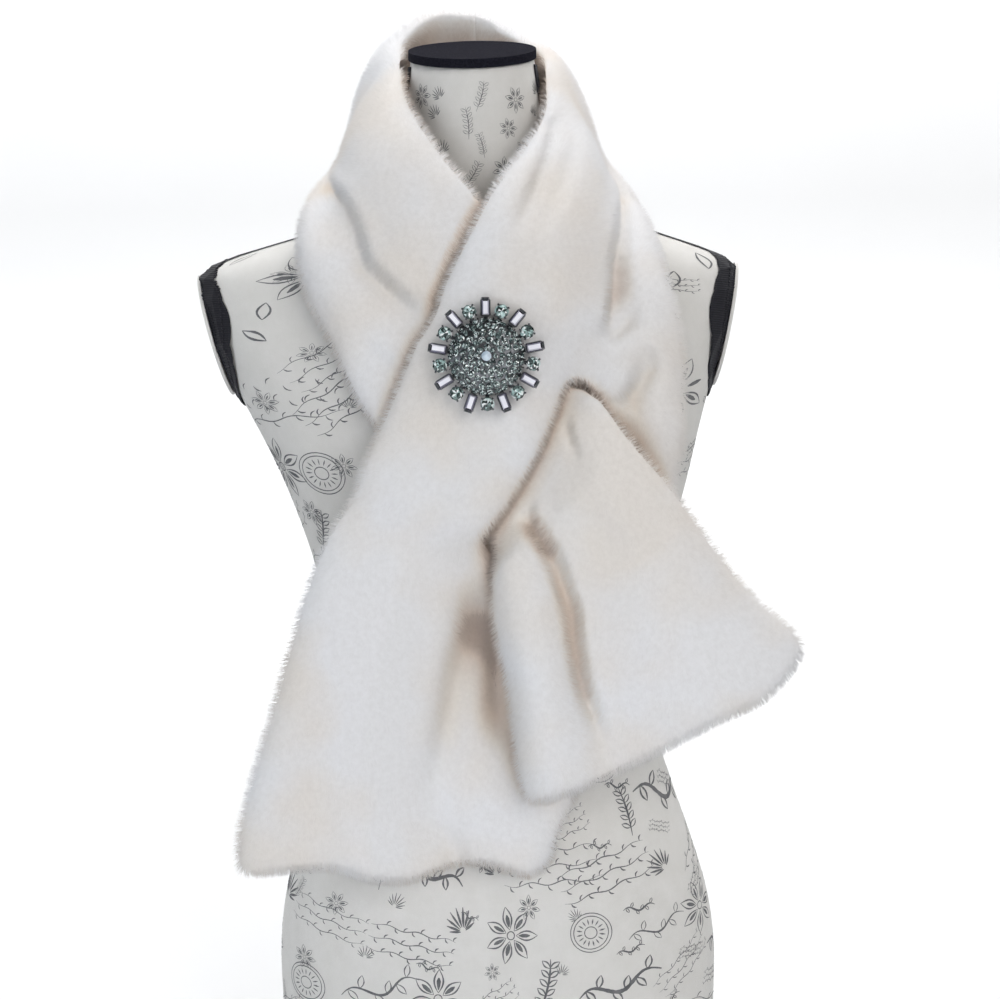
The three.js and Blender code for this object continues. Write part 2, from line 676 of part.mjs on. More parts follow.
function baguetteStone(lift) {
  const { length, width, height } = BROOCH.baguette;
  const { bevel } = BROOCH;
  const shape = new THREE.Shape();
  const [x, y] = [length / 2 - bevel, width / 2 - bevel];
  shape.moveTo(-x, -y);
  shape.lineTo(x, -y);
  shape.lineTo(x, y);
  shape.lineTo(-x, y);
  shape.closePath();
  const stone = new THREE.ExtrudeGeometry(shape, {
    depth: height - 2 * bevel,
    bevelEnabled: true,
    bevelThickness: bevel,
    bevelSize: bevel,
    bevelSegments: 1,
  });
  return stone.translate(0, 0, lift + bevel);
}

// The round place in the fur that the brooch presses flat.
function broochSeat() {
  const { seatRadius, seatHeight } = BROOCH;
  const seat = new THREE.CylinderGeometry(seatRadius, seatRadius, seatHeight, 40);
  seat.rotateX(Math.PI / 2);
  seat.translate(0, 0, seatHeight / 2 - SEAM_GAP);
  seat.applyMatrix4(broochGroup().matrix);
  return seat;
}

function broochGroup() {
  const group = new THREE.Group();
  group.position.set(...BROOCH.place);
  group.rotation.x = Math.PI / 2 - THREE.MathUtils.degToRad(BROOCH.tilt);
  group.updateMatrix();
  return group;
}

// Assembly

function piece(name, geometry, look) {
  const mesh = new THREE.Mesh(geometry, new THREE.MeshStandardMaterial(COLOURS[look]));
  mesh.name = name;
  return mesh;
}

function dressForm() {
  const group = new THREE.Group();
  group.add(piece("torso", form(), "linen"));
  group.add(piece("neck_cap", neckCap(), "ribbon"));
  for (const [side, sign] of [["left", -1], ["right", 1]]) {
    const round = trimOnForm(ribbonZone(sign), [beyondArmhole(sign)]);
    const shoulder = trimOnForm(shoulderZone(sign), [ribbonZone(sign, SEAM_GAP)]);
    group.add(piece(`armhole_trim_${side}`, round, "ribbon"));
    group.add(piece(`arm_plate_${side}`, armPlate(sign), "linen"));
    group.add(piece(`seam_trim_${side}`, shoulder, "ribbon"));
  }
  return group;
}

function wrap() {
  const group = new THREE.Group();
  const capClear = neckCap(FUR_GAP);
  const pieces = furPieces({
    over_band: [broochSeat()],
    over_collar: [broochSeat(), capClear],
    under_collar: [capClear],
  });
  for (const [name, geometry] of Object.entries(pieces)) {
    group.add(piece(name, geometry, "fur"));
  }
  return group;
}

function brooch() {
  const group = broochGroup();
  const top = BROOCH.plateThick + BROOCH.stoneLift;
  group.add(piece("brooch_plate", broochPlate(), "setting"));
  group.add(piece("brooch_dome", broochDome(), "setting"));
  const crown = top + BROOCH.domeHeight + BROOCH.stoneLift;
  const centre = roundStone(BROOCH.centre.radius, BROOCH.centre.height, crown);
  group.add(piece("brooch_centre_stone", centre, "stone"));
  for (let i = 0; i < BROOCH.arms; i += 1) {
    const arm = new THREE.Group();
    arm.rotation.z = Math.PI / 2 - (2 * Math.PI * i) / BROOCH.arms;
    const number = Math.floor(i / 2) + 1;
    const isBaguette = i % 2 === 0;
    const { radius, height } = BROOCH.round;
    const stone = isBaguette
      ? piece(`baguette_${number}`, baguetteStone(top), "baguette")
      : piece(`round_stone_${number}`, roundStone(radius, height, top), "stone");
    stone.position.x = isBaguette ? BROOCH.baguette.at : BROOCH.round.at;
    arm.add(stone);
    group.add(arm);
  }
  return group;
}

const part = new THREE.Group();
part.add(dressForm(), wrap(), brooch());

export default part;
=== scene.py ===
# A white plush collar wrap, pulled through its own slit and pinned with a jewelled brooch,
# on a linen dress form. Sizes are metres, and in names that end in _MM and in the tables of
# creases, motifs and dome stones they are millimetres.
import math

import bmesh
import bpy
import numpy as np
from mathutils import Matrix, Vector
from mathutils.bvhtree import BVHTree


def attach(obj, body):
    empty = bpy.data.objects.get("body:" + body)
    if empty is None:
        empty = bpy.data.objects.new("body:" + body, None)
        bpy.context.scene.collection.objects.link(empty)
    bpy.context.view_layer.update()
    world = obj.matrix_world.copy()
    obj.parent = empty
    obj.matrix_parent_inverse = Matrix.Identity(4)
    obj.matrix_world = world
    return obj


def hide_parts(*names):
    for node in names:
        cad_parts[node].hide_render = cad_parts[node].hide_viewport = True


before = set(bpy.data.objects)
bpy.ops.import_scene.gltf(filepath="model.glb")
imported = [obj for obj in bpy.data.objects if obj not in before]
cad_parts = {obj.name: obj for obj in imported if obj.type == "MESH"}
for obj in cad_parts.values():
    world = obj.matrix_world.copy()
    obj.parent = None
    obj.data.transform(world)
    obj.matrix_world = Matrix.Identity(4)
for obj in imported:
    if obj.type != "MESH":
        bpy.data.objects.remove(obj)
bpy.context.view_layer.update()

MM = 0.001

# Camera: what it looks at, how far off, how high, and how much it is tipped sideways
TARGET = Vector((0.0108, 0, 0.440))
CAMERA_DISTANCE = 1.5
CAMERA_ELEVATION = math.radians(10)
CAMERA_ROLL = math.radians(1.2)
LENS_MM = 75
SENSOR_MM = 36

# Fur: the solids' faces are where its tips reach, so the backing lies under them
PILE = 7.0 * MM
SKIN_INSET = 5.4 * MM
INSET_SHARE = 0.3
SKIN_VOXEL = 3.7 * MM
STRAND_WIDTH = 0.37 * MM
STRANDS = {"over": 362_000, "under": 272_000}
STRANDS_PER_PIECE = 190_000
# A strand's width and length as shares of the ones above, and how its length swells over a span
STRAND_WIDTHS = (0.7, 1.3)
STRAND_LENGTHS = (0.85, 1.08)
LENGTH_SWELL = 0.05
LENGTH_SPAN = 12 * MM
# How far strands lean with the nap, in broad swirls, in small tufts and each on its own
NAP_WAY = np.array([0.0, 0.0, -1.0])
NAP_LEAN = 0.38
SWIRL_LEAN = 0.25
SWIRL_SPAN = 50 * MM
TUFT_LEAN = 0.13
TUFT_SPAN = 6 * MM
STRAY_LEAN = 0.17
STRAND_TWIST = 0.4
BACK_SPLIT_Y = 18 * MM
SEAM_OVERLAP = 1.5 * MM
# How far nearby cloth counts for how open a spot is, and below what share fur is thinned out
NEARBY = 60 * MM
OPEN_ENOUGH = 0.14
# Where the slit's lower end is drawn together
SLIT_END = Vector((1, -105, 420)) * MM
SLIT_END_SIZE = 11 * MM
# How far from a join between stretches the cloth is evened out, and how many times
JOIN_REACH = 11 * MM
JOIN_STEPS = 45
# Creases: the step along a path, how many half widths off they end, how much alike the cloth must
# face there, how many half widths off the lip's top is, and how fast the lip ends past the path
CREASE_STEP = 2 * MM
CREASE_REACH = 5
SAME_FACE = -0.2
LIP_PLACE = 1.5
LIP_END = 0.4
# How deep a crease is whose bottom is fully in the pile's own shade, and how much painted shade that
# puts into its colour
DEEP_MM = 9
CREASE_SHADE_SHARE = 0.2
# Painted shade: how fast cloth gets darker and warmer in colour below this openness, and the most that
# it gets
FOLD_SHADE_GAIN = 2.1
SHADE_BELOW_OPENNESS = 0.87
DEEPEST_FOLD_SHADE = 0.74
# How many ways a spot looks up to see how open it is, and how far the cloth's far face is sought
SKY_WAYS = 40
THICKEST = 60 * MM

# Lights: name, place, what it is aimed at, size, watts and colour. The floor hides the one
# under it and lets its light through, like light thrown up by a white floor.
LIGHTS = [
    ("key", (1.2, -2.0, 1.7), (0, 0, 0.45), (1.6, 1.4), 30, (1, 0.985, 0.965)),
    ("fill", (-2.0, -1.5, 0.9), (0, 0, 0.4), (1.6, 1.6), 18.5, (0.86, 0.93, 1)),
    ("top", (0, 0.3, 2.2), (0, 0.1, 0.5), (1.8, 1.4), 13, (0.97, 0.98, 1)),
    ("low", (0.1, -1.9, 0.2), (0, 0, 0.35), (2.4, 0.35), 12, (0.95, 0.97, 1)),
    ("back_left", (-1.6, 1.0, 1.2), (0, 0, 0.45), (1.2, 1.4), 9, (0.97, 0.98, 1)),
    ("back_right", (1.7, 1.0, 1.2), (0, 0, 0.45), (1.2, 1.4), 9, (0.97, 0.98, 1)),
    ("floor_glow", (0, -0.3, -0.05), (0, -0.3, 1), (2.4, 2.0), 8, (0.93, 0.96, 1)),
    ("backdrop_light", (0, 0.7, 2.4), (0, 1.5, 0.9), (2.8, 0.7), 46, (1, 1, 1)),
]
SKY_STRENGTH = 0.06
# The floor lies a hair under the base that the form stands on
FLOOR_Z = -0.4 * MM

# The brooch: where its own flat frame stands, as its solids have it
BROOCH_PLACE = np.array([4, -137, 558]) * MM
BROOCH_TILT = math.radians(82)
BROOCH_FRAME = Matrix.Translation(BROOCH_PLACE) @ Matrix.Rotation(BROOCH_TILT, 4, "X")
BROOCH_PRESS = 33 * MM
BROOCH_ARMS = 18
STONE_BASE = 1.9 * MM
BAGUETTE = {"at": 31.5 * MM, "half_length": 5.5 * MM, "half_width": 2.9 * MM, "height": 4.2 * MM}
ROUND = {"at": 30.6 * MM, "radius": 4.7 * MM, "height": 4.6 * MM}
DOME = {"radius": 24 * MM, "rise": 7 * MM, "base": 2.9 * MM}
# Rings of small stones on the dome: distance from the middle, how many, and their radius
PAVE_RINGS = [(5.7, 8, 2.3), (10.4, 14, 2.5), (15.1, 19, 2.6), (19.7, 25, 2.5), (23.2, 30, 2.2)]
DOME_SINK = 0.9 * MM
DOME_TILT = 0.3
# Bars of metal: half their length, half their width, and the height of their top
OUTER_BAR = (0.9, 2.7, 4.5)
INNER_BAR = (0.5, 2.7, 4.5)
SIDE_RAIL = (5, 0.22, 2.6)
CORNER_CLAW = (0.9, 0.65, 4.9)
DOME_CLAW = (0.45, 0.45, 2.3)
CLAW_FOOT = -0.3 * MM
# Cut glass with painted reflections: the colour of a facet whose painted glint is 0, 1 or between, from
# dark to a white glint
GLASS = {
    "clear": [(0, (0.03, 0.028, 0.045)), (0.5, (0.36, 0.35, 0.45)), (1, (0.95, 0.94, 1))],
    "aqua": [(0, (0.02, 0.03, 0.03)), (0.4, (0.16, 0.22, 0.21)), (0.7, (0.46, 0.64, 0.62)),
             (1, (1, 1, 1))],
    "smoky": [(0, (0.006, 0.01, 0.012)), (0.5, (0.07, 0.1, 0.1)), (0.8, (0.33, 0.43, 0.42)),
              (1, (0.95, 1, 1))],
}

# Ribbons round the armholes: ovals at their two edges, as centre and half sizes in y and z
RIBBON_EDGES = [
    {"y": 1 * MM, "z": 565 * MM, "deep": 47.6 * MM, "high": 53.2 * MM},
    {"y": 1 * MM, "z": 563 * MM, "deep": 37.2 * MM, "high": 45.6 * MM},
]
PICOT_STEP = 2.5 * MM
PICOT_SIZE = 1.2 * MM
PICOT_FLATNESS = 0.55
# Where the armholes' faces are, and how much wider than the ribbon the unprinted oval is
ARMHOLE_X = 0.18
ARMHOLE_FROM_X = 0.13
ARMHOLE_MARGIN = 1.06
# A place outside the form on every side
OUTSIDE = 0.4

# The print on the linen
INK_LIFT = 0.15 * MM
PRINT_ROWS = 15
PRINT_LOWEST = 4 * MM
PRINT_FROM = 22 * MM
PRINT_TO = 603 * MM
PRINT_SPACING = 46 * MM
SMALL_SPACING = 44 * MM
NECK_PRINT = [644 * MM, 660 * MM, 676 * MM, 692 * MM, 708 * MM, 724 * MM]
NECK_SPACING = 26 * MM
# Round figures for how far the linen is from the form's middle
BODY_RADIUS = 0.115
NECK_RADIUS = 0.047
PRINT_SCALES = (0.8, 1.2)
PRINT_LEANS = (-0.5, 0.7)

OVER_NODES = ["over_collar", "over_band", "outer_band", "over_tail"]
UNDER_NODES = ["under_collar", "under_tail"]

# Creases pressed into the cloth, in millimetres. Each has its path, its depth, its half
# width, the height of the lip on its right-hand side, and the shares of its length over which it
# comes and goes. A path is drawn to the nearest cloth, so that it may be a little off it.
CREASES = {
    "over_backing": [
        # inside the neck edge, and between the roll and the outer part
        ([(24, -117, 632), (29, -110, 646), (36, -99, 661), (43, -87, 677), (50, -70, 695),
          (51, -50, 711)], 5.5, 5, 1.5, 0.45, 0.15),
        ([(99, 12, 658), (98, -30, 650), (96, -55, 640), (92, -80, 620), (88, -93, 589),
          (82, -105, 563)], 7, 7, 2.5, 0.1, 0.12),
        # two short hollows outside the roll
        ([(103, -93, 583), (95, -99, 574), (84, -104, 563)], 5.5, 6, 1.5, 0.5, 0.2),
        ([(117, -98, 556), (107, -102, 536), (95, -105, 518)], 9, 8, 3, 0.5, 0.05),
        # the tail's valley, and the dark hollow beside it
        ([(-6, -113, 412), (-11, -111, 372), (-18, -110, 346), (-26, -110, 301), (-34, -110, 262)],
         8, 11, 2, 0.35, 0.35),
        ([(0, -112, 400), (2, -110, 360), (5, -110, 325), (9, -110, 285)], 11, 14, 0, 0.45, 0.3),
        ([(-34, -112, 240), (-27, -113, 224), (-23, -114, 205)], 3, 8, 1, 0.6, 0.0),
        # shallow waves on the band and the tail
        ([(-8, -133, 503), (-28, -132, 480), (-44, -131, 458)], 1.2, 14, 0, 0.4, 0.4),
        ([(-70, -122, 440), (-86, -118, 380), (-104, -112, 310)], 1.6, 16, 0, 0.4, 0.4),
        ([(-110, -112, 330), (-122, -108, 280), (-128, -106, 230)], 1.2, 12, 0, 0.4, 0.3),
        # behind the neck and the shoulder
        ([(12, 108, 742), (42, 100, 738), (70, 78, 728), (92, 40, 705)], 5, 7, 2, 0.3, 0.4),
        ([(20, 110, 700), (58, 98, 696), (96, 64, 676)], 3, 9, 1, 0.3, 0.3),
    ],
    "under_backing": [
        # between the roll and the outer part, and a small one below it
        ([(-40, -102, 576), (-44, -102, 585), (-61, -98, 600), (-77, -91, 615), (-83, -84, 642),
          (-90, -72, 656), (-97, -30, 663), (-102, 15, 669)], 7, 7, 3, 0.15, 0.05),
        ([(-56, -105, 542), (-62, -105, 552), (-72, -104, 560), (-80, -102, 568)], 2.5, 5, 1, 0.3, 0.4),
        ([(-92, -100, 548), (-102, -96, 580), (-110, -86, 612)], 1.5, 10, 0, 0.4, 0.4),
        # the long fold that runs down the tail from the slit, and the nick beside it
        ([(80, -137, 287), (75, -137, 303), (67, -136, 325), (62, -136, 344), (59, -135, 366),
          (57, -135, 391), (53, -134, 401), (47, -134, 420), (39, -131, 435), (26, -121, 453)],
         10, 5.5, 3, 0.4, 0.02),
        ([(64, -128, 487), (59, -121, 498), (55, -115, 513)], 3, 3.5, 0.8, 0.4, 0.1),
        # shallow waves on the tail
        ([(110, -136, 400), (128, -132, 360), (150, -126, 325)], 1.4, 13, 0, 0.4, 0.4),
        ([(30, -138, 400), (32, -140, 350), (36, -140, 300)], 1.0, 8, 0, 0.4, 0.4),
        # behind the neck and the shoulder
        ([(-10, 108, 744), (-38, 102, 738), (-66, 84, 726), (-90, 52, 700), (-102, 24, 676)],
         5.5, 7, 2, 0.4, 0.1),
        ([(-24, 110, 704), (-56, 100, 690), (-88, 72, 668)], 2.5, 10, 1, 0.3, 0.4),
    ],
}

rng = np.random.default_rng(7)


# Meshes

def link(name, mesh):
    obj = bpy.data.objects.new(name, mesh)
    bpy.context.scene.collection.objects.link(obj)
    return obj


def mesh_from(name, points, faces, smooth=True):
    """A mesh from arrays of points and of faces that all have the same number of corners."""
    points = np.asarray(points, np.float32)
    faces = np.asarray(faces, np.int32)
    mesh = bpy.data.meshes.new(name)
    mesh.vertices.add(len(points))
    mesh.vertices.foreach_set("co", points.ravel())
    mesh.loops.add(faces.size)
    mesh.loops.foreach_set("vertex_index", faces.ravel())
    mesh.polygons.add(len(faces))
    mesh.polygons.foreach_set("loop_start", np.arange(0, faces.size, faces.shape[1]))
    mesh.polygons.foreach_set("use_smooth", np.full(len(faces), smooth))
    mesh.update(calc_edges=True)
    return mesh


def fetched(items, key, kind, width):
    """What each item of a mesh has under this key, one row for each."""
    values = np.empty(width * len(items), kind)
    items.foreach_get(key, values)
    return values.reshape(-1, width)


def points_of(mesh):
    return fetched(mesh.vertices, "co", np.float32, 3)


def normals_of(mesh):
    return fetched(mesh.vertex_normals, "vector", np.float32, 3)


def edges_of(mesh):
    return fetched(mesh.edges, "vertices", np.int32, 2)


def triangles_of(mesh):
    mesh.calc_loop_triangles()
    return fetched(mesh.loop_triangles, "vertices", np.int32, 3)


def add_values(mesh, name, values, domain="POINT"):
    """A number for each point or face, which a material can read by its name."""
    layer = mesh.attributes.new(name, "FLOAT", domain)
    layer.data.foreach_set("value", np.asarray(values, np.float32))


def values_of(mesh, name):
    return fetched(mesh.attributes[name].data, "value", np.float32, 1)[:, 0]


def closed_off(bm, name):
    """A mesh made of a bmesh that isn't needed any more."""
    mesh = bpy.data.meshes.new(name)
    bm.to_mesh(mesh)
    bm.free()
    return mesh


def apply_modifiers(obj):
    done = obj.evaluated_get(bpy.context.evaluated_depsgraph_get())
    mesh = bpy.data.meshes.new_from_object(done)
    obj.modifiers.clear()
    obj.data = mesh


def piece(obj, slot, material, *replaced):
    """obj rides on the body, takes that material, and stands for the named nodes. The slot is not used.
    """
    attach(obj, "root")
    if replaced:
        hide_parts(*replaced)
    if material:
        obj.data.materials.clear()
        obj.data.materials.append(material)
    return obj


def unit(vectors):
    return vectors / np.maximum(np.linalg.norm(vectors, axis=-1, keepdims=True), 1e-9)


def polar(radius, angle):
    return radius * math.cos(angle), radius * math.sin(angle)


def turned(u, v, angle):
    """The point u, v turned about the middle."""
    return u * math.cos(angle) - v * math.sin(angle), u * math.sin(angle) + v * math.cos(angle)


def ripple(points, size, seed, waves=9, gain=1.8):
    """Smooth noise from about -1 to 1 over points, its bumps about as wide as size."""
    source = np.random.default_rng(seed)
    total = np.zeros(len(points))
    for _ in range(waves):
        direction = unit(source.normal(size=3)) * source.uniform(0.6, 1.4) * math.pi / size
        total += np.sin(points @ direction + source.uniform(0, math.tau))
    return gain * total / waves


# Materials

def new_material(name):
    material = bpy.data.materials.new(name)
    material.use_nodes = True
    tree = material.node_tree
    shader = tree.nodes["Principled BSDF"]
    return material, tree, shader


def add(tree, kind, **settings):
    node = tree.nodes.new(kind)
    for key, value in settings.items():
        setattr(node, key, value)
    return node


def set_inputs(node, **values):
    """Gives a node's inputs their values. An underscore stands for a space in an input's name."""
    for name, value in values.items():
        node.inputs[name.replace("_", " ")].default_value = value


def ramp(tree, source, *stops):
    """A colour ramp over source, its stops as (place, (r, g, b))."""
    node = add(tree, "ShaderNodeValToRGB")
    elements = node.color_ramp.elements
    while len(elements) < len(stops):
        elements.new(0.5)
    for element, (place, colour) in zip(elements, stops):
        element.position = place
        element.color = (*colour, 1)
    tree.links.new(source, node.inputs["Fac"])
    return node.outputs["Color"]


def noise(tree, scale, detail=3.0, roughness=0.5):
    place = add(tree, "ShaderNodeTexCoord")
    node = add(tree, "ShaderNodeTexNoise")
    set_inputs(node, Scale=scale, Detail=detail, Roughness=roughness)
    tree.links.new(place.outputs["Object"], node.inputs["Vector"])
    return node.outputs["Fac"]


def bump(tree, shader, height, strength, distance):
    node = add(tree, "ShaderNodeBump")
    set_inputs(node, Strength=strength, Distance=distance)
    tree.links.new(height, node.inputs["Height"])
    tree.links.new(node.outputs["Normal"], shader.inputs["Normal"])


def mixed(tree, factor, low, high, blend="MIX"):
    """Two colours mixed. Each value is a number, a colour or another node's output."""
    node = add(tree, "ShaderNodeMix", data_type="RGBA", blend_type=blend)
    for socket, value in zip((node.inputs[0], node.inputs[6], node.inputs[7]), (factor, low, high)):
        if isinstance(value, (float, int)):
            socket.default_value = value
        elif isinstance(value, tuple):
            socket.default_value = (*value, 1)
        else:
            tree.links.new(value, socket)
    return node.outputs[2]


def attribute(tree, name):
    return add(tree, "ShaderNodeAttribute", attribute_name=name).outputs["Fac"]


def mottled_material(name, spots, stops, **finish):
    """A material whose colour goes from tone to tone in spots of this scale, detail and roughness."""
    material, tree, shader = new_material(name)
    spotted = noise(tree, *spots)
    tree.links.new(ramp(tree, spotted, *stops), shader.inputs["Base Color"])
    set_inputs(shader, **finish)
    return material, tree, shader, spotted


def fur_material(name):
    """White plush, cool white where the cloth is open, with painted shade: cream in the hollows, a warm
    brown deep in the folds, and a little darker at the strands' roots.
    """
    material, tree, shader = new_material(name)
    # Painted shade: less open cloth and deep creases get a darker, warmer colour, standing in for shade
    # and light bounced in the folds
    colour = ramp(
        tree,
        attribute(tree, "painted_fold_shade"),
        (0.0, (0.80, 0.795, 0.805)),
        (0.2, (0.80, 0.77, 0.74)),
        (0.5, (0.72, 0.63, 0.57)),
        (0.85, (0.40, 0.325, 0.285)),
    )
    patches = ramp(tree, noise(tree, 11, 2), (0.40, (1, 1, 1)), (0.62, (0.98, 0.93, 0.865)))
    # Painted shade within the pile: strands a little darker towards their roots
    roots = ramp(tree, attribute(tree, "reach"), (0.0, (0.95,) * 3), (0.8, (1, 1, 1)))
    tufts = ramp(tree, noise(tree, 260, 3, 0.65), (0.35, (0.93, 0.925, 0.92)), (0.65, (1, 1, 1)))
    tint = mixed(tree, 1.0, mixed(tree, 1.0, colour, patches, "MULTIPLY"), tufts, "MULTIPLY")
    tree.links.new(mixed(tree, 1.0, tint, roots, "MULTIPLY"), shader.inputs["Base Color"])
    set_inputs(shader, Roughness=0.9, Specular_IOR_Level=0.15)
    return material


def pile_material():
    """The same plush, lit as the cloth below it is, whichever way each blade is turned."""
    material = fur_material("plush_pile")
    tree = material.node_tree
    facing = add(tree, "ShaderNodeAttribute", attribute_name="cloth_normal")
    in_world = add(tree, "ShaderNodeVectorTransform", vector_type="NORMAL")
    in_world.convert_from = "OBJECT"
    in_world.convert_to = "WORLD"
    tree.links.new(facing.outputs["Vector"], in_world.inputs["Vector"])
    shader = tree.nodes["Principled BSDF"]
    tree.links.new(in_world.outputs["Vector"], shader.inputs["Normal"])
    set_inputs(shader, Transmission_Weight=0.04)
    return material


def linen_material():
    material, tree, shader = new_material("linen_weave")
    place = add(tree, "ShaderNodeTexCoord").outputs["Object"]
    heights = []
    for direction in ("X", "Z"):
        wave = add(tree, "ShaderNodeTexWave", bands_direction=direction)
        set_inputs(wave, Scale=520, Distortion=1.6, Detail=2, Detail_Scale=0.6)
        tree.links.new(place, wave.inputs["Vector"])
        heights.append(wave.outputs["Fac"])
    weave = mixed(tree, 0.5, heights[0], heights[1])
    thread = ramp(tree, weave, (0.25, (0.63, 0.615, 0.59)), (0.75, (0.80, 0.785, 0.76)))
    slubs = ramp(tree, noise(tree, 60, 4, 0.7), (0.3, (0.93, 0.93, 0.92)), (0.7, (1, 1, 1)))
    tree.links.new(mixed(tree, 1.0, thread, slubs, "MULTIPLY"), shader.inputs["Base Color"])
    set_inputs(shader, Roughness=0.85, Sheen_Weight=0.15)
    bump(tree, shader, weave, 0.35, 0.0003)
    return material


def ribbon_material():
    material, tree, shader = new_material("black_grosgrain")
    place = add(tree, "ShaderNodeTexCoord").outputs["Object"]
    wave = add(tree, "ShaderNodeTexWave", bands_direction="Z")
    set_inputs(wave, Scale=260, Distortion=0.4)
    tree.links.new(place, wave.inputs["Vector"])
    colour = ramp(tree, wave.outputs["Fac"], (0.2, (0.006, 0.006, 0.009)), (0.8, (0.02, 0.02, 0.026)))
    tree.links.new(colour, shader.inputs["Base Color"])
    set_inputs(shader, Roughness=0.7, Specular_IOR_Level=0.2)
    bump(tree, shader, wave.outputs["Fac"], 0.6, 0.0004)
    return material


def felt_material():
    tones = [(0.3, (0.004, 0.004, 0.007)), (0.75, (0.022, 0.022, 0.032))]
    finish = {"Roughness": 1, "Specular_IOR_Level": 0.05}
    material, tree, shader, fibres = mottled_material("black_felt", (900, 4, 0.8), tones, **finish)
    bump(tree, shader, fibres, 0.7, 0.0006)
    return material


def ink_material():
    tones = [(0.3, (0.10, 0.10, 0.11)), (0.8, (0.22, 0.22, 0.22))]
    return mottled_material("grey_ink", (120, 4, 0.7), tones, Roughness=0.9)[0]


def metal_material():
    tones = [(0.3, (0.05, 0.055, 0.06)), (0.7, (0.16, 0.165, 0.175))]
    finish = {"Metallic": 1, "Roughness": 0.35}
    return mottled_material("dark_plated_metal", (400, 3, 0.6), tones, **finish)[0]


def stone_material():
    """A pale, milky stone for the crown."""
    tones = [(0.3, (0.42, 0.52, 0.62)), (0.7, (0.74, 0.84, 0.92))]
    return mottled_material("milky_stone", (300, 2), tones, Roughness=0.15, Coat_Weight=0.8)[0]


def gem_material(name, *stops):
    """Cut glass that isn't see-through: each facet's tone is a painted reflection, from dark to a white
    glint.
    """
    material, tree, shader = new_material(name)
    tree.links.new(ramp(tree, attribute(tree, "painted_glint"), *stops), shader.inputs["Base Color"])
    set_inputs(shader, Roughness=0.12, Coat_Weight=0.6, Coat_Roughness=0.03)
    return material


# Camera, floor and light

def make_camera():
    e = CAMERA_ELEVATION
    forward = Vector((0, math.cos(e), -math.sin(e)))
    level_up = Vector((0, math.sin(e), math.cos(e)))
    side = Vector((1, 0, 0))
    up = math.cos(CAMERA_ROLL) * level_up + math.sin(CAMERA_ROLL) * side
    right = math.cos(CAMERA_ROLL) * side - math.sin(CAMERA_ROLL) * level_up
    camera = bpy.data.objects.new("camera", bpy.data.cameras.new("camera"))
    camera.data.lens = LENS_MM
    camera.data.sensor_width = SENSOR_MM
    place = TARGET - CAMERA_DISTANCE * forward
    axes = Matrix((right, up, -forward)).transposed().to_4x4()
    camera.matrix_world = Matrix.Translation(place) @ axes
    bpy.context.scene.collection.objects.link(camera)
    bpy.context.scene.camera = camera


def make_stage():
    """A pale floor that curves up into a backdrop."""
    width, front, back, height, bend, steps = 3.2, -2.4, 1.5, 2.6, 0.6, 12
    profile = [(front, 0.0), (back - bend, 0.0)]
    for i in range(1, steps + 1):
        angle = math.pi / 2 * i / steps
        profile.append((back - bend + bend * math.sin(angle), bend - bend * math.cos(angle)))
    profile.append((back, height))
    points = [(x, y, z + FLOOR_Z) for y, z in profile for x in (-width, width)]
    faces = [(2 * i, 2 * i + 1, 2 * i + 3, 2 * i + 2) for i in range(len(profile) - 1)]
    floor = link("floor", mesh_from("floor", points, faces))
    tones = [(0.3, (0.90, 0.90, 0.90)), (0.7, (0.92, 0.92, 0.92))]
    floor.data.materials.append(mottled_material("pale_floor", (3, 2), tones, Roughness=0.9)[0])
    floor.visible_diffuse = False
    floor.visible_shadow = False


def area_light(name, place, aim, size, watts, colour):
    data = bpy.data.lights.new(name, "AREA")
    data.shape = "RECTANGLE"
    data.size, data.size_y = size
    data.energy = watts
    data.color = colour
    data.cycles.use_multiple_importance_sampling = False
    obj = bpy.data.objects.new(name, data)
    obj.location = place
    obj.rotation_euler = (Vector(aim) - Vector(place)).to_track_quat("-Z", "Y").to_euler()
    bpy.context.scene.collection.objects.link(obj)


def make_light():
    world = bpy.data.worlds.new("studio")
    world.use_nodes = True
    sky = world.node_tree.nodes["Background"].inputs
    sky["Color"].default_value = (1, 1, 1, 1)
    sky["Strength"].default_value = SKY_STRENGTH
    bpy.context.scene.world = world
    for light in LIGHTS:
        area_light(*light)
    bpy.context.scene.view_settings.view_transform = "Standard"


# The fur's skin

def solid_copy(names):
    """One bmesh of these nodes, each of them welded into a closed solid."""
    bm = bmesh.new()
    for name in names:
        bm.from_mesh(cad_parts[name].data)
    bmesh.ops.remove_doubles(bm, verts=bm.verts, dist=0.01 * MM)
    return bm


def cut_at(bm, place, normal, faces=None):
    """Removes what lies behind a plane, and closes the cut. It cuts all faces if none are given."""
    chosen = faces or bm.faces[:]
    corners = dict.fromkeys(corner for face in chosen for corner in face.verts)
    edges = dict.fromkeys(edge for face in chosen for edge in face.edges)
    bmesh.ops.bisect_plane(
        bm, geom=[*corners, *edges, *chosen], plane_co=place, plane_no=normal, clear_inner=True
    )
    bmesh.ops.holes_fill(bm, edges=[edge for edge in bm.edges if edge.is_boundary], sides=0)


def back_of(name, side):
    """The part of a collar node that lies behind the neck, closed, and pushed over the seam."""
    bm = solid_copy([name])
    cut_at(bm, (0, BACK_SPLIT_Y, 0), (0, 1, 0))
    bmesh.ops.translate(bm, verts=bm.verts, vec=(side * SEAM_OVERLAP, 0, 0))
    return closed_off(bm, "back")


def evened(mesh, values, steps):
    """Values at the points, each averaged with its neighbours' again and again."""
    edges = edges_of(mesh)
    degree = np.bincount(edges.ravel(), minlength=len(values))
    for _ in range(steps):
        total = np.bincount(edges[:, 0], values[edges[:, 1]], len(values))
        total += np.bincount(edges[:, 1], values[edges[:, 0]], len(values))
        values = (values + total) / (1 + degree)
    return values


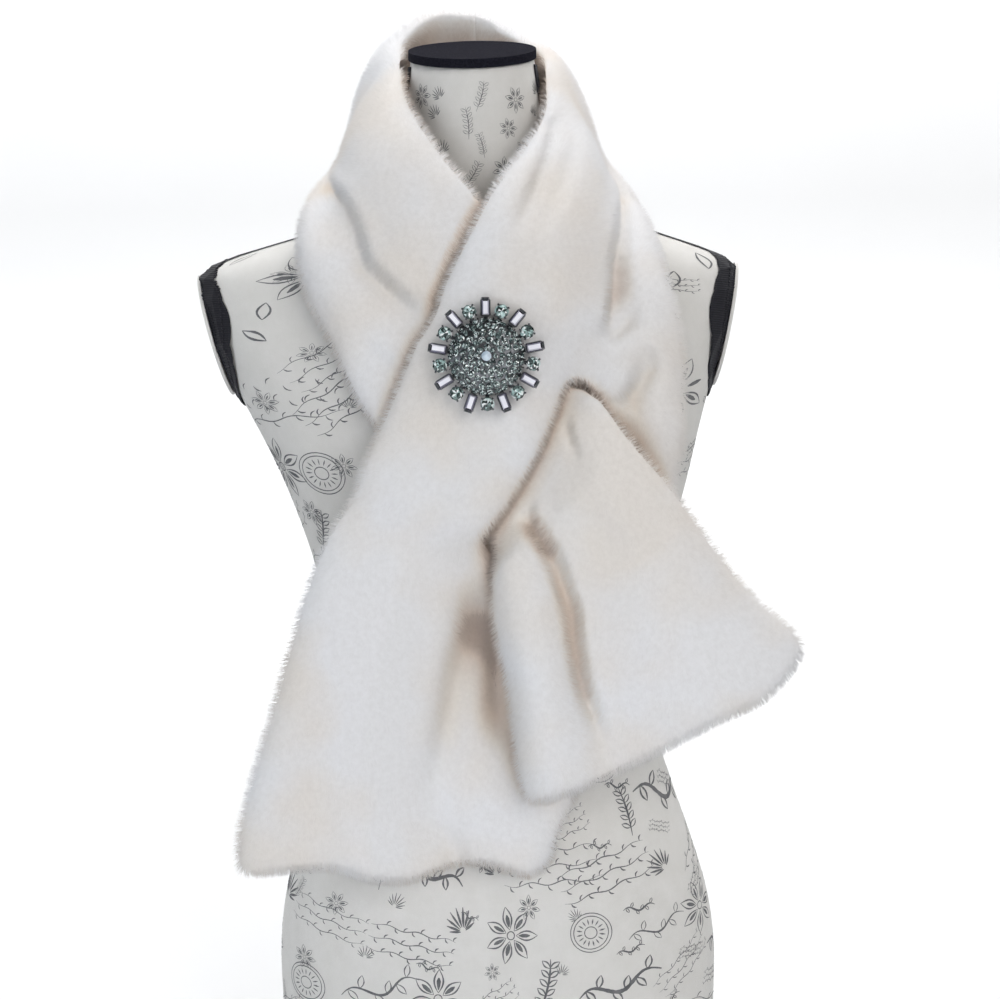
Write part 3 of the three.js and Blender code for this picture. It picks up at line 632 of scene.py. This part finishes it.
def lowered(mesh, values, steps):
    """Values at the points, each replaced by the lowest one near it."""
    edges = edges_of(mesh)
    for _ in range(steps):
        lowest = values.copy()
        np.minimum.at(lowest, edges[:, 0], values[edges[:, 1]])
        np.minimum.at(lowest, edges[:, 1], values[edges[:, 0]])
        values = lowest
    return values


def distances(points, ways, tree, reach):
    """How far each point can go its way before it meets something."""
    found = np.full(len(points), reach)
    starts = points + ways * (0.4 * MM)
    for i, (start, way) in enumerate(zip(starts.tolist(), ways.tolist())):
        distance = tree.ray_cast(start, way, reach)[3]
        if distance is not None:
            found[i] = distance
    return found


def set_points(mesh, points):
    mesh.vertices.foreach_set("co", np.asarray(points, np.float32).ravel())
    mesh.update()


def smoothed(obj, steps):
    smoothing = obj.modifiers.new("smooth", "SMOOTH")
    smoothing.iterations = steps
    smoothing.factor = 0.5
    apply_modifiers(obj)


def joined_stretches(name, nodes, neighbour, side):
    """One closed object from the stretches of a strand and the start of the other strand."""
    bm = solid_copy(nodes)
    bm.from_mesh(back_of(neighbour, side))
    if name == "over_backing":
        bmesh.ops.create_icosphere(
            bm, subdivisions=2, radius=SLIT_END_SIZE, matrix=Matrix.Translation(SLIT_END)
        )
    skin = link(name, closed_off(bm, name))
    joining = skin.modifiers.new("joining", "REMESH")
    joining.mode = "VOXEL"
    joining.voxel_size = SKIN_VOXEL
    smoothed(skin, 10)
    return skin


def take_off_pile(skin):
    """Moves the faces in by the pile's length, but by less where the cloth is thin."""
    points, normals = points_of(skin.data), normals_of(skin.data)
    thickness = distances(points, -normals, tree_of(skin.data), THICKEST)
    thickness = evened(skin.data, lowered(skin.data, thickness, 2), 4)
    inset = np.minimum(SKIN_INSET, INSET_SHARE * thickness)
    set_points(skin.data, points - normals * inset[:, None])
    smoothed(skin, 3)


def end_at_seam(mesh, side):
    """Cuts a strand off at the seam behind the neck."""
    bm = bmesh.new()
    bm.from_mesh(mesh)
    back_faces = [face for face in bm.faces if face.calc_center_median().y > BACK_SPLIT_Y]
    cut_at(bm, (0, 0, 0), (side, 0, 0), back_faces)
    bm.to_mesh(mesh)
    bm.free()
    for polygon in mesh.polygons:
        polygon.use_smooth = True


def make_skin(name, nodes, neighbour, side):
    """The cloth that the fur grows from: the stretches joined, with the pile taken off."""
    skin = joined_stretches(name, nodes, neighbour, side)
    take_off_pile(skin)
    smooth_joins(skin.data, nodes)
    add_creases(skin.data, CREASES[name])
    end_at_seam(skin.data, side)
    return skin


def smooth_joins(mesh, nodes):
    """Evens the cloth out where one stretch goes on into the next."""
    points = points_of(mesh).astype(float)
    gaps = np.empty((len(nodes), len(points)))
    for row, node in enumerate(nodes):
        tree = tree_of(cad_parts[node].data)
        gaps[row] = [tree.find_nearest(Vector(p))[3] for p in points]
    second = np.sort(gaps, axis=0)[1]
    share = evened(mesh, np.clip(1.6 - second / JOIN_REACH, 0, 1), 3)
    for _ in range(JOIN_STEPS):
        even = np.stack([evened(mesh, points[:, axis], 1) for axis in range(3)], 1)
        points += share[:, None] * (even - points)
    set_points(mesh, points)


def resampled(path, step):
    """Points along a path, a step apart."""
    path = np.asarray(path, float)
    lengths = np.concatenate([[0], np.cumsum(np.linalg.norm(np.diff(path, axis=0), axis=1))])
    at = np.linspace(0, lengths[-1], max(2, round(lengths[-1] / step)))
    return np.stack([np.interp(at, lengths, path[:, axis]) for axis in range(3)], 1)


def line_on(mesh, path):
    """The path drawn to the nearest cloth, with the way the cloth faces and the way to its right."""
    tree = tree_of(mesh)
    found = [tree.find_nearest(Vector(p)) for p in resampled(np.array(path) * MM, CREASE_STEP)]
    line = np.array([place for place, *_ in found])
    facing = np.array([normal for _, normal, *_ in found])
    return line, facing, unit(np.cross(np.gradient(line, axis=0), facing))


def strength_along(along, fade_in, fade_out):
    """How strong a crease is at each share of its length."""
    coming = np.clip(along / max(fade_in, 1e-6), 0, 1)
    going = np.clip((1 - along) / max(fade_out, 1e-6), 0, 1)
    return np.sin(coming * going * math.pi / 2)


def add_creases(mesh, creases):
    """Presses a soft trough along each path, with a lip on its right-hand side."""
    hollow = np.zeros(len(mesh.vertices))
    for path, depth, width, lip, fade_in, fade_out in creases:
        points, normals = points_of(mesh), normals_of(mesh)
        line, facing, right = line_on(mesh, path)
        gaps = np.linalg.norm(points[:, None] - line[None, ::4], axis=2)
        near = np.flatnonzero(gaps.min(1) < CREASE_REACH * width * MM)
        offset = points[near][:, None] - line[None]
        away = np.linalg.norm(offset, axis=2)
        closest = away.argmin(1)
        rows = np.arange(len(near))
        # distances are counted in half widths of the crease
        distance = away[rows, closest] / (width * MM)
        across = np.einsum("ij,ij->i", offset[rows, closest], right[closest]) / (width * MM)
        beyond = np.maximum(distance - np.abs(across), 0)
        strength = strength_along(closest / (len(line) - 1), fade_in, fade_out)
        strength *= np.einsum("ij,ij->i", normals[near], facing[closest]) > SAME_FACE
        trough = np.exp(-distance ** 2)
        lips = np.exp(-((across - LIP_PLACE) ** 2) - LIP_END * beyond ** 2)
        move = (lip * lips - depth * trough) * strength * MM
        points[near] += normals[near] * move[:, None]
        set_points(mesh, points)
        # How deep in a crease each point lies; it later darkens the cloth's colour as painted shade
        hollow[near] = np.maximum(hollow[near], trough * strength * min(depth / DEEP_MM, 1))
    add_values(mesh, "hollow", hollow)


def sphere_of_ways(count):
    """Directions spread evenly over all sides."""
    index = np.arange(count) + 0.5
    height = 1 - 2 * index / count
    turn = index * math.pi * (3 - math.sqrt(5))
    level = np.sqrt(1 - height ** 2)
    return np.stack([level * np.cos(turn), level * np.sin(turn), height], 1)


def openness(mesh, tree, room):
    """The share of the sky that each spot of the pile's face sees past nearby cloth."""
    normals = normals_of(mesh)
    above = np.minimum(PILE, 0.5 * room)
    starts = (points_of(mesh) + normals * above[:, None]).tolist()
    seen = np.zeros(len(starts))
    total = np.zeros(len(starts))
    for way in sphere_of_ways(SKY_WAYS):
        slant = normals @ way
        total += np.maximum(slant, 0)
        for i in np.flatnonzero(slant > 0.08).tolist():
            if tree.ray_cast(starts[i], way, NEARBY)[0] is None:
                seen[i] += slant[i]
    return evened(mesh, seen / total, 5)


# The fur's strands

def tree_of(*meshes):
    """All triangles of these meshes, ready to be searched by place or along a line."""
    points = []
    triangles = []
    count = 0
    for mesh in meshes:
        points.append(points_of(mesh))
        triangles.append(triangles_of(mesh) + count)
        count += len(points[-1])
    return BVHTree.FromPolygons(np.concatenate(points).tolist(), np.concatenate(triangles).tolist())


def scatter(mesh, normals, count, density, *fields):
    """Random roots over a mesh, with the normals and the fields' values there."""
    points, triangles = points_of(mesh), triangles_of(mesh)
    a, b, c = (points[triangles[:, i]] for i in range(3))
    areas = np.linalg.norm(np.cross(b - a, c - a), axis=1) * density[triangles].mean(1)
    picked = rng.choice(len(triangles), count, p=areas / areas.sum())
    u, v = rng.random(count), rng.random(count)
    flip = u + v > 1
    u[flip], v[flip] = 1 - u[flip], 1 - v[flip]
    weights = np.stack([1 - u - v, u, v], 1)
    chosen = triangles[picked]
    roots = (points[chosen] * weights[:, :, None]).sum(1)
    outward = unit((normals[chosen] * weights[:, :, None]).sum(1))
    return roots, outward, *((field[chosen] * weights).sum(1) for field in fields)


def outward_of(mesh):
    """The normals, kept level with the seam where the cloth is cut off behind the neck."""
    normals = normals_of(mesh).copy()
    points = points_of(mesh)
    at_seam = (np.abs(points[:, 0]) < MM) & (points[:, 1] > BACK_SPLIT_Y)
    normals[at_seam, 0] = 0
    return unit(normals)


def under_brooch(roots, outward):
    """Whether each root is behind the brooch, on cloth that faces the front."""
    offset = roots - BROOCH_PLACE
    return (np.hypot(offset[:, 0], offset[:, 2]) < BROOCH_PRESS) & (outward[:, 1] < -0.3)


def ways_of(roots, outward):
    """The way each strand points: outwards, and leaning."""
    swirl = np.stack([ripple(roots, SWIRL_SPAN, seed) for seed in (1, 2, 3)], 1)
    tuft = np.stack([ripple(roots, TUFT_SPAN, seed) for seed in (4, 5, 6)], 1)
    lean = NAP_LEAN * NAP_WAY + SWIRL_LEAN * swirl + TUFT_LEAN * tuft
    lean += rng.normal(0, STRAY_LEAN, roots.shape)
    lean -= outward * np.einsum("ij,ij->i", lean, outward)[:, None]
    return unit(outward + lean)


def make_strands(name, skin, open_share, room, painted_fold_shade, count):
    """Slim blades of fur, leaning with the nap and gathered into soft tufts."""
    density = np.clip(open_share / OPEN_ENOUGH, 0.02, 1)
    scattered = scatter(skin.data, outward_of(skin.data), count, density, room, painted_fold_shade)
    free = ~under_brooch(*scattered[:2])
    roots, outward, room, strand_shade = (values[free] for values in scattered)
    count = len(roots)
    way = ways_of(roots, outward)
    length = PILE * rng.uniform(*STRAND_LENGTHS, count)
    length *= 1 + LENGTH_SWELL * ripple(roots, LENGTH_SPAN, 8)
    length *= np.clip(room / (1.1 * PILE), 0.3, 1)
    side = unit(np.cross(way, outward + rng.normal(0, STRAND_TWIST, (count, 3))))
    inside_out = np.einsum("ij,ij->i", np.cross(side, way), outward) < 0
    side[inside_out] *= -1
    half = (0.5 * STRAND_WIDTH * rng.uniform(*STRAND_WIDTHS, count))[:, None]
    corners = np.stack([roots - half * side, roots + half * side, roots + way * length[:, None]], 1)
    return split_strands(name, corners, outward, strand_shade)


def split_strands(name, corners, soft, strand_shade):
    """One joined mesh for each run of strands from the top down."""
    order = np.argsort(-corners[:, 0, 2])
    parts = math.ceil(len(order) / STRANDS_PER_PIECE)
    made = []
    for number, chosen in enumerate(np.array_split(order, parts), 1):
        faces = np.arange(3 * len(chosen)).reshape(-1, 3)
        mesh = mesh_from(f"{name}_{number}", corners[chosen].reshape(-1, 3), faces)
        facing = np.repeat(soft[chosen], 3, axis=0)
        mesh.normals_split_custom_set_from_vertices(facing.tolist())
        layer = mesh.attributes.new("cloth_normal", "FLOAT_VECTOR", "POINT")
        layer.data.foreach_set("vector", facing.astype(np.float32).ravel())
        # reach runs from root to tip, and the colour darkens towards the roots as painted shade
        add_values(mesh, "reach", np.tile([0, 0, 1], len(chosen)))
        # Each strand takes the painted fold shade of the cloth at its root
        add_values(mesh, "painted_fold_shade", np.repeat(strand_shade[chosen], 3))
        part = link(f"{name}_{number}", mesh)
        part.visible_shadow = False
        part.visible_diffuse = False
        made.append(part)
    return made


def make_wrap(cover):
    backing = fur_material("plush_backing")
    pile = pile_material()
    over = make_skin("over_backing", OVER_NODES, "under_collar", 1)
    under = make_skin("under_backing", UNDER_NODES, "over_collar", -1)
    around = tree_of(cover.data, over.data, under.data)
    for name, skin, nodes in (("over", over, OVER_NODES), ("under", under, UNDER_NODES)):
        mesh = skin.data
        room = distances(points_of(mesh), normals_of(mesh), around, NEARBY)
        open_share = openness(mesh, around, room)
        # Painted shade: the less of the sky a spot sees, and the deeper it lies in a crease, the darker
        # and warmer its colour
        crease_shade = CREASE_SHADE_SHARE * values_of(mesh, "hollow")
        painted_fold_shade = np.clip(FOLD_SHADE_GAIN * (SHADE_BELOW_OPENNESS - open_share) + crease_shade, 0, DEEPEST_FOLD_SHADE)
        add_values(mesh, "painted_fold_shade", painted_fold_shade)
        # The backing is coloured like the lower part of a strand, a little darker in painted shade
        add_values(mesh, "reach", np.full(len(painted_fold_shade), 0.3))
        strands = make_strands(f"{name}_pile", skin, open_share, room, painted_fold_shade, STRANDS[name])
        piece(skin, "fur", backing, *nodes)
        for part in strands:
            piece(part, "fur", pile)


# The dress form

def make_cover():
    """The form's linen cover: the solid's own faces, rounded."""
    bm = solid_copy(["torso"])
    bmesh.ops.join_triangles(
        bm, faces=bm.faces, angle_face_threshold=math.radians(25), angle_shape_threshold=math.pi
    )
    crease = bm.edges.layers.float.new("crease_edge")
    for edge in bm.edges:
        if len(edge.link_faces) == 2 and edge.calc_face_angle() > math.radians(38):
            edge[crease] = 0.9
    cover = link("form_cover", closed_off(bm, "form_cover"))
    rounding = cover.modifiers.new("rounding", "SUBSURF")
    rounding.levels = rounding.render_levels = 2
    apply_modifiers(cover)
    for polygon in cover.data.polygons:
        polygon.use_smooth = True
    return piece(cover, "linen", linen_material(), "torso")


def on_form(tree, angle, z):
    """Where a level line from the form's middle at this angle leaves its cover."""
    way = Vector((math.cos(angle), math.sin(angle), 0))
    place, normal, *_ = tree.ray_cast(Vector((0, 0, z)) + way * OUTSIDE, -way)
    return place, normal


def in_armhole(point):
    edge = RIBBON_EDGES[0]
    oval = ((point.y - edge["y"]) / edge["deep"]) ** 2 + ((point.z - edge["z"]) / edge["high"]) ** 2
    return abs(point.x) > ARMHOLE_FROM_X and oval < ARMHOLE_MARGIN


# Print motifs. Each is a list of strokes, and a stroke is a list of (across, up, width).

def tapered(points, width):
    last = len(points) - 1
    return [(u, v, width * (0.35 + math.sin(math.pi * i / last))) for i, (u, v) in enumerate(points)]


def leaf(u, v, angle, length, width):
    """An almond-shaped outline that starts at u, v."""
    sides = []
    for bow in (-1, 1):
        points = []
        for i in range(9):
            t = i / 8
            across, up = turned(length * t, bow * 0.2 * length * math.sin(math.pi * t), angle)
            points.append((u + across, v + up))
        sides.append(tapered(points, width))
    return sides


def blossom(size, width):
    """Seven petals round a small ring, with a bold stroke down each petal."""
    turn = [math.tau * i / 16 for i in range(17)]
    strokes = [[(*polar(0.14 * size, a), 0.3 * width) for a in turn]]
    for i in range(7):
        angle = math.tau * (i + 0.25) / 7
        strokes += leaf(*polar(0.2 * size, angle), angle, 0.8 * size, 0.35 * width)
        vein = [polar(r * size, angle) for r in (0.3, 0.45, 0.6, 0.72)]
        strokes.append(tapered(vein, 0.9 * width))
    return strokes


def vine(size, width):
    stem = []
    strokes = []
    for i in range(41):
        t = i / 40
        stem.append((size * (2 * t - 1), 0.16 * size * math.sin(3 * math.pi * t)))
    for number, i in enumerate(range(4, 40, 6)):
        side = 1 if number % 2 else -1
        strokes += leaf(*stem[i], side * 1.1, 0.36 * size, 0.5 * width)
    return [tapered(stem, width), *strokes]


def rosette(size, width):
    """Rings round a ring of short rays."""
    strokes = []
    for share in (1, 0.84, 0.3):
        turn = [math.tau * i / 32 for i in range(33)]
        strokes.append([(*polar(share * size, a), 0.5 * width) for a in turn])
    for i in range(16):
        angle = math.tau * i / 16
        ray = [polar(r * size, angle) for r in (0.42, 0.56, 0.7)]
        strokes.append(tapered(ray, 0.6 * width))
    return strokes


def fan(size, width):
    """Strokes that spread from one point, the middle ones longest."""
    strokes = []
    for i in range(9):
        angle = math.radians(20 + 17.5 * i)
        length = size * (0.6 + 0.4 * math.sin(math.pi * i / 8))
        ray = [polar(r * length, angle) for r in (0.2, 0.45, 0.7, 1)]
        strokes.append(tapered(ray, 0.8 * width))
    return strokes


def sprig(size, width):
    stem = [(0.25 * size * math.sin(2 * i / 12), size * (2 * i / 12 - 1)) for i in range(13)]
    strokes = [tapered(stem, 0.8 * width)]
    for i in range(2, 12, 2):
        for side in (-1, 1):
            strokes += leaf(*stem[i], math.pi / 2 - side * 0.9, 0.42 * size, 0.5 * width)
    return strokes


def garland(size, width):
    """Three long waved stems, one above the other, with small leaves on each."""
    strokes = []
    for level in (-1, 0, 1):
        stem = []
        for i in range(31):
            t = 2 * i / 30 - 1
            stem.append((size * t, 0.3 * size * level + 0.035 * size * math.sin(9 * t + level)))
        strokes.append(tapered(stem, 0.6 * width))
        for number, i in enumerate(range(2, 30, 3)):
            turn = 0.9 if number % 2 else -0.9
            strokes.append(leaf(*stem[i], turn, 0.13 * size, 0.8 * width)[number % 2])
    return strokes


# Each motif, its size in mm and its widest stroke in mm
MOTIFS = [
    (blossom, 22, 2.6),
    (vine, 30, 2.4),
    (garland, 30, 0.9),
    (rosette, 16, 1.5),
    (garland, 26, 0.7),
    (fan, 18, 1.6),
    (vine, 24, 1.2),
    (sprig, 17, 1.4),
    (garland, 34, 0.8),
]
# Small ones, between the others and on the neck
SMALL_MOTIFS = [(vine, 9, 0.9), (sprig, 10, 0.45), (fan, 9, 0.6), (garland, 11, 0.5), (blossom, 8, 0.9)]


def print_places():
    """Spots all round the form, in rows that are shifted and jostled, with what is drawn there."""
    places = []
    for motifs, rows, spacing, radius in (
        (MOTIFS, np.linspace(PRINT_FROM, PRINT_TO, PRINT_ROWS), PRINT_SPACING, BODY_RADIUS),
        (SMALL_MOTIFS, np.linspace(2 * PRINT_FROM, PRINT_TO, PRINT_ROWS), SMALL_SPACING, BODY_RADIUS),
        (SMALL_MOTIFS, NECK_PRINT, NECK_SPACING, NECK_RADIUS),
    ):
        for row, z in enumerate(rows):
            count = round(math.tau * radius / spacing)
            for i in range(count):
                motif, size, width = motifs[(3 * i + 5 * row + i // 4) % len(motifs)]
                share = (i + 0.5 * (row % 2) + rng.uniform(-0.2, 0.2)) / count
                place = (math.tau * share, z + rng.uniform(-8, 8) * MM, radius)
                places.append((motif, size * MM, width * MM, place))
    return places


def make_print(tree):
    """Grey pen flourishes, each stroke a thin flat band just off the linen."""
    points = []
    faces = []
    for motif, size, width, place in print_places():
        scale = rng.uniform(*PRINT_SCALES)
        lean = rng.uniform(*PRINT_LEANS)
        for stroke in motif(size * scale, width * scale):
            add_stroke(points, faces, tree, stroke, *place, lean)
    mesh = mesh_from("pen_flourishes", points, faces)
    piece(link("pen_flourishes", mesh), "linen", ink_material())


def add_stroke(points, faces, tree, stroke, angle, z, radius, lean):
    """Lays a stroke on the form as a band of four-cornered faces."""
    run = []
    for u, v, width in stroke:
        across, up = turned(u, v, lean)
        place, normal = on_form(tree, angle + across / radius, z + up)
        if place is None or in_armhole(place) or z + up < PRINT_LOWEST:
            return
        run.append((place + normal * INK_LIFT, normal, width * rng.uniform(0.85, 1.15)))
    first = len(points)
    for i, (place, normal, width) in enumerate(run):
        ahead = run[min(i + 1, len(run) - 1)][0] - run[max(i - 1, 0)][0]
        side = normal.cross(ahead).normalized() * (width / 2)
        points += [tuple(place - side), tuple(place + side)]
    for i in range(len(run) - 1):
        a = first + 2 * i
        faces.append((a, a + 2, a + 3, a + 1))


def make_picots():
    """The small loops along both edges of the ribbon round each armhole."""
    bead = bmesh.new()
    bmesh.ops.create_icosphere(bead, subdivisions=1, radius=PICOT_SIZE)
    bead_points = np.array([corner.co for corner in bead.verts])
    bead_faces = np.array([[corner.index for corner in face.verts] for face in bead.faces])
    bead.free()
    points = []
    faces = []
    for side, sign in (("left", -1), ("right", 1)):
        tree = tree_of(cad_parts[f"armhole_trim_{side}"].data)
        for edge in RIBBON_EDGES:
            count = round(math.pi * (edge["deep"] + edge["high"]) / PICOT_STEP)
            for i in range(count):
                turn = math.tau * i / count
                y = edge["y"] + edge["deep"] * math.cos(turn)
                z = edge["z"] + edge["high"] * math.sin(turn)
                place, normal, *_ = tree.ray_cast(Vector((sign * OUTSIDE, y, z)), Vector((-sign, 0, 0)))
                if place is None:
                    place, normal, *_ = tree.find_nearest(Vector((sign * ARMHOLE_X, y, z)))
                flat = bead_points - PICOT_FLATNESS * np.outer(bead_points @ normal, normal)
                faces.append(bead_faces + len(points) * len(bead_points))
                points.append(flat + np.array(place))
    mesh = mesh_from("picot_edging", np.concatenate(points), np.concatenate(faces))
    piece(link("picot_edging", mesh), "ribbon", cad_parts["armhole_trim_left"].active_material)


# The brooch

class Facets:
    """Points and faces of many small stones, with the painted glint of each face: how bright its
    painted reflection is.
    """

    def __init__(self):
        self.points = []
        self.faces = []
        self.painted_glint = []

    def add(self, place, points, faces, painted_glint):
        first = len(self.points)
        self.points += [tuple(BROOCH_FRAME @ (place @ Vector(p))) for p in points]
        self.faces += [tuple(first + i for i in face) for face in faces]
        self.painted_glint += painted_glint

    def build(self, name, slot, material, *replaced):
        mesh = bpy.data.meshes.new(name)
        mesh.from_pydata(self.points, [], self.faces)
        add_values(mesh, "painted_glint", self.painted_glint, "FACE")
        return piece(link(name, mesh), slot, material, *replaced)


def rings_between(rings):
    """Faces from each ring of points to the next, then over the last one."""
    count = len(rings[0])
    faces = []
    for level in range(len(rings) - 1):
        for k in range(count):
            a, b = level * count + k, level * count + (k + 1) % count
            faces.append((a, b, b + count, a + count))
    top = (len(rings) - 1) * count
    return [p for ring in rings for p in ring], faces, list(range(top, top + count))


def add_round_stone(facets, place, radius, height, sides=10):
    """A brilliant: pavilion, girdle, a crown of slanting facets and a table split in wedges."""
    rings = []
    for share, level, twist in ((0.72, 0, 0), (1, 0.5, 0), (0.82, 0.8, 0.5), (0.5, 1, 0)):
        turn = [math.tau * (k + twist) / sides for k in range(sides)]
        rings.append([(*polar(radius * share, a), height * level) for a in turn])
    points, squares, table = rings_between(rings)
    faces = []
    for a, b, c, d in squares:
        faces += [(a, b, c), (a, c, d)]
    middle = len(points)
    points.append((0, 0, height))
    faces += [(table[k], table[(k + 1) % sides], middle) for k in range(sides)]
    # Each facet gets a random painted glint, mostly dark, sometimes white
    facets.add(place, points, faces, list(rng.beta(0.5, 0.7, len(faces))))


def add_baguette(facets, place):
    """A step-cut oblong with painted reflections: dark sides, two steps and a bright table."""
    x, y, height = BAGUETTE["half_length"], BAGUETTE["half_width"], BAGUETTE["height"]
    rings = []
    for inset, level in ((0.8, 0), (0, 0.45), (0.7, 0.75), (1.5, 1)):
        a, b, z = x - inset * MM, y - inset * MM, level * height
        rings.append([(-a, -b, z), (a, -b, z), (a, b, z), (-a, b, z)])
    points, faces, table = rings_between(rings)
    # Painted reflections: the sides dark, the steps between, the table bright
    lower = rng.uniform(0, 0.3, 8)
    upper = [rng.uniform(0.5, 0.9), 0.02, rng.uniform(0.2, 0.5), rng.uniform(0.4, 0.8)]
    facets.add(place, points, [*faces, tuple(table)], [*lower, *upper, rng.uniform(0.9, 1)])


def add_bar(facets, place, bar, low=CLAW_FOOT):
    """A small upright block of metal, a little slimmer at its top."""
    x, y, high = (MM * size for size in bar)
    ring = [(-x, -y), (x, -y), (x, y), (-x, y)]
    rings = [[(a, b, low) for a, b in ring], [(0.8 * a, 0.8 * b, high) for a, b in ring]]
    points, faces, top = rings_between(rings)
    facets.add(place, points, [*faces, tuple(top)], [0.5] * (len(faces) + 1))


def arm_place(index, at):
    """The frame of an arm of the brooch: its X axis points outwards."""
    angle = math.pi / 2 - math.tau * index / BROOCH_ARMS
    return Matrix.Rotation(angle, 4, "Z") @ Matrix.Translation((at, 0, STONE_BASE))


def dome_place(distance, turn, sink):
    """A frame on the dome's face, its Z axis out of it."""
    share = distance / DOME["radius"]
    height = DOME["base"] + DOME["rise"] * math.sqrt(max(1 - share * share, 0))
    slope = DOME["rise"] * share / (DOME["radius"] * math.sqrt(max(1 - share * share, 0.06)))
    face = Matrix.Rotation(min(math.atan(slope), 1.0), 4, "Y")
    return (
        Matrix.Rotation(turn, 4, "Z")
        @ Matrix.Translation((distance, 0, height))
        @ face
        @ Matrix.Translation((0, 0, -sink))
    )


def add_baguette_arm(baguettes, claws, place):
    """A baguette with a bar across each end and a rail along each side."""
    add_baguette(baguettes, place)
    reach = BAGUETTE["half_length"] + 0.2 * MM
    for end, bar in ((1, OUTER_BAR), (-1, INNER_BAR)):
        add_bar(claws, place @ Matrix.Translation((end * reach, 0, 0)), bar)
    beside = BAGUETTE["half_width"] + 0.25 * MM
    for side in (-1, 1):
        add_bar(claws, place @ Matrix.Translation((0, side * beside, 0)), SIDE_RAIL)


def add_round_arm(rounds, claws, place):
    """A round stone held by four claws."""
    add_round_stone(rounds, place, ROUND["radius"], ROUND["height"])
    for corner in range(4):
        turn = Matrix.Rotation(math.pi * (corner + 0.5) / 2, 4, "Z")
        add_bar(claws, place @ turn @ Matrix.Translation((ROUND["radius"], 0, 0)), CORNER_CLAW)


def add_dome_stones(pave, claws):
    """Rings of small stones, set a little unevenly on the dome, with a claw in each gap."""
    for distance, count, radius in PAVE_RINGS:
        for i in range(count):
            turn = math.tau * (i + rng.uniform(-0.12, 0.12)) / count
            size = radius * rng.uniform(0.85, 1.12) * MM
            place = dome_place(distance * MM, turn, DOME_SINK)
            for axis in "XY":
                place = place @ Matrix.Rotation(rng.uniform(-DOME_TILT, DOME_TILT), 4, axis)
            add_round_stone(pave, place, size, 0.9 * size, 8)
            gap = dome_place((distance + 1) * MM, math.tau * (i + 0.5) / count, MM)
            add_bar(claws, gap, DOME_CLAW, 0)


def make_brooch():
    baguettes, rounds, pave, claws = Facets(), Facets(), Facets(), Facets()
    for index in range(BROOCH_ARMS):
        if index % 2:
            add_round_arm(rounds, claws, arm_place(index, ROUND["at"]))
        else:
            add_baguette_arm(baguettes, claws, arm_place(index, BAGUETTE["at"]))
    add_dome_stones(pave, claws)
    clear, aqua, smoky = (gem_material(f"{name}_cut_glass", *GLASS[name]) for name in GLASS)
    numbers = range(1, BROOCH_ARMS // 2 + 1)
    baguettes.build("baguettes", "baguette", clear, *(f"baguette_{i}" for i in numbers))
    rounds.build("round_stones", "stone", aqua, *(f"round_stone_{i}" for i in numbers))
    pave.build("dome_stones", "stone", smoky)
    claws.build("claws", "setting", metal_material())


def dress_nodes():
    """Finishes for the nodes whose own shape is right."""
    finishes = {
        "armhole_trim": ribbon_material(),
        "neck_cap": felt_material(),
        "arm_plate": linen_material(),
        "brooch_centre": stone_material(),
        "brooch": metal_material(),
    }
    finishes["seam_trim"] = finishes["armhole_trim"]
    for name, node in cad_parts.items():
        finish = next((look for start, look in finishes.items() if name.startswith(start)), None)
        if finish:
            for material_slot in node.material_slots:
                material_slot.material = finish


make_camera()
make_stage()
make_light()
cover = make_cover()
dress_nodes()
make_print(tree_of(cover.data))
make_picots()
make_wrap(cover)
make_brooch()
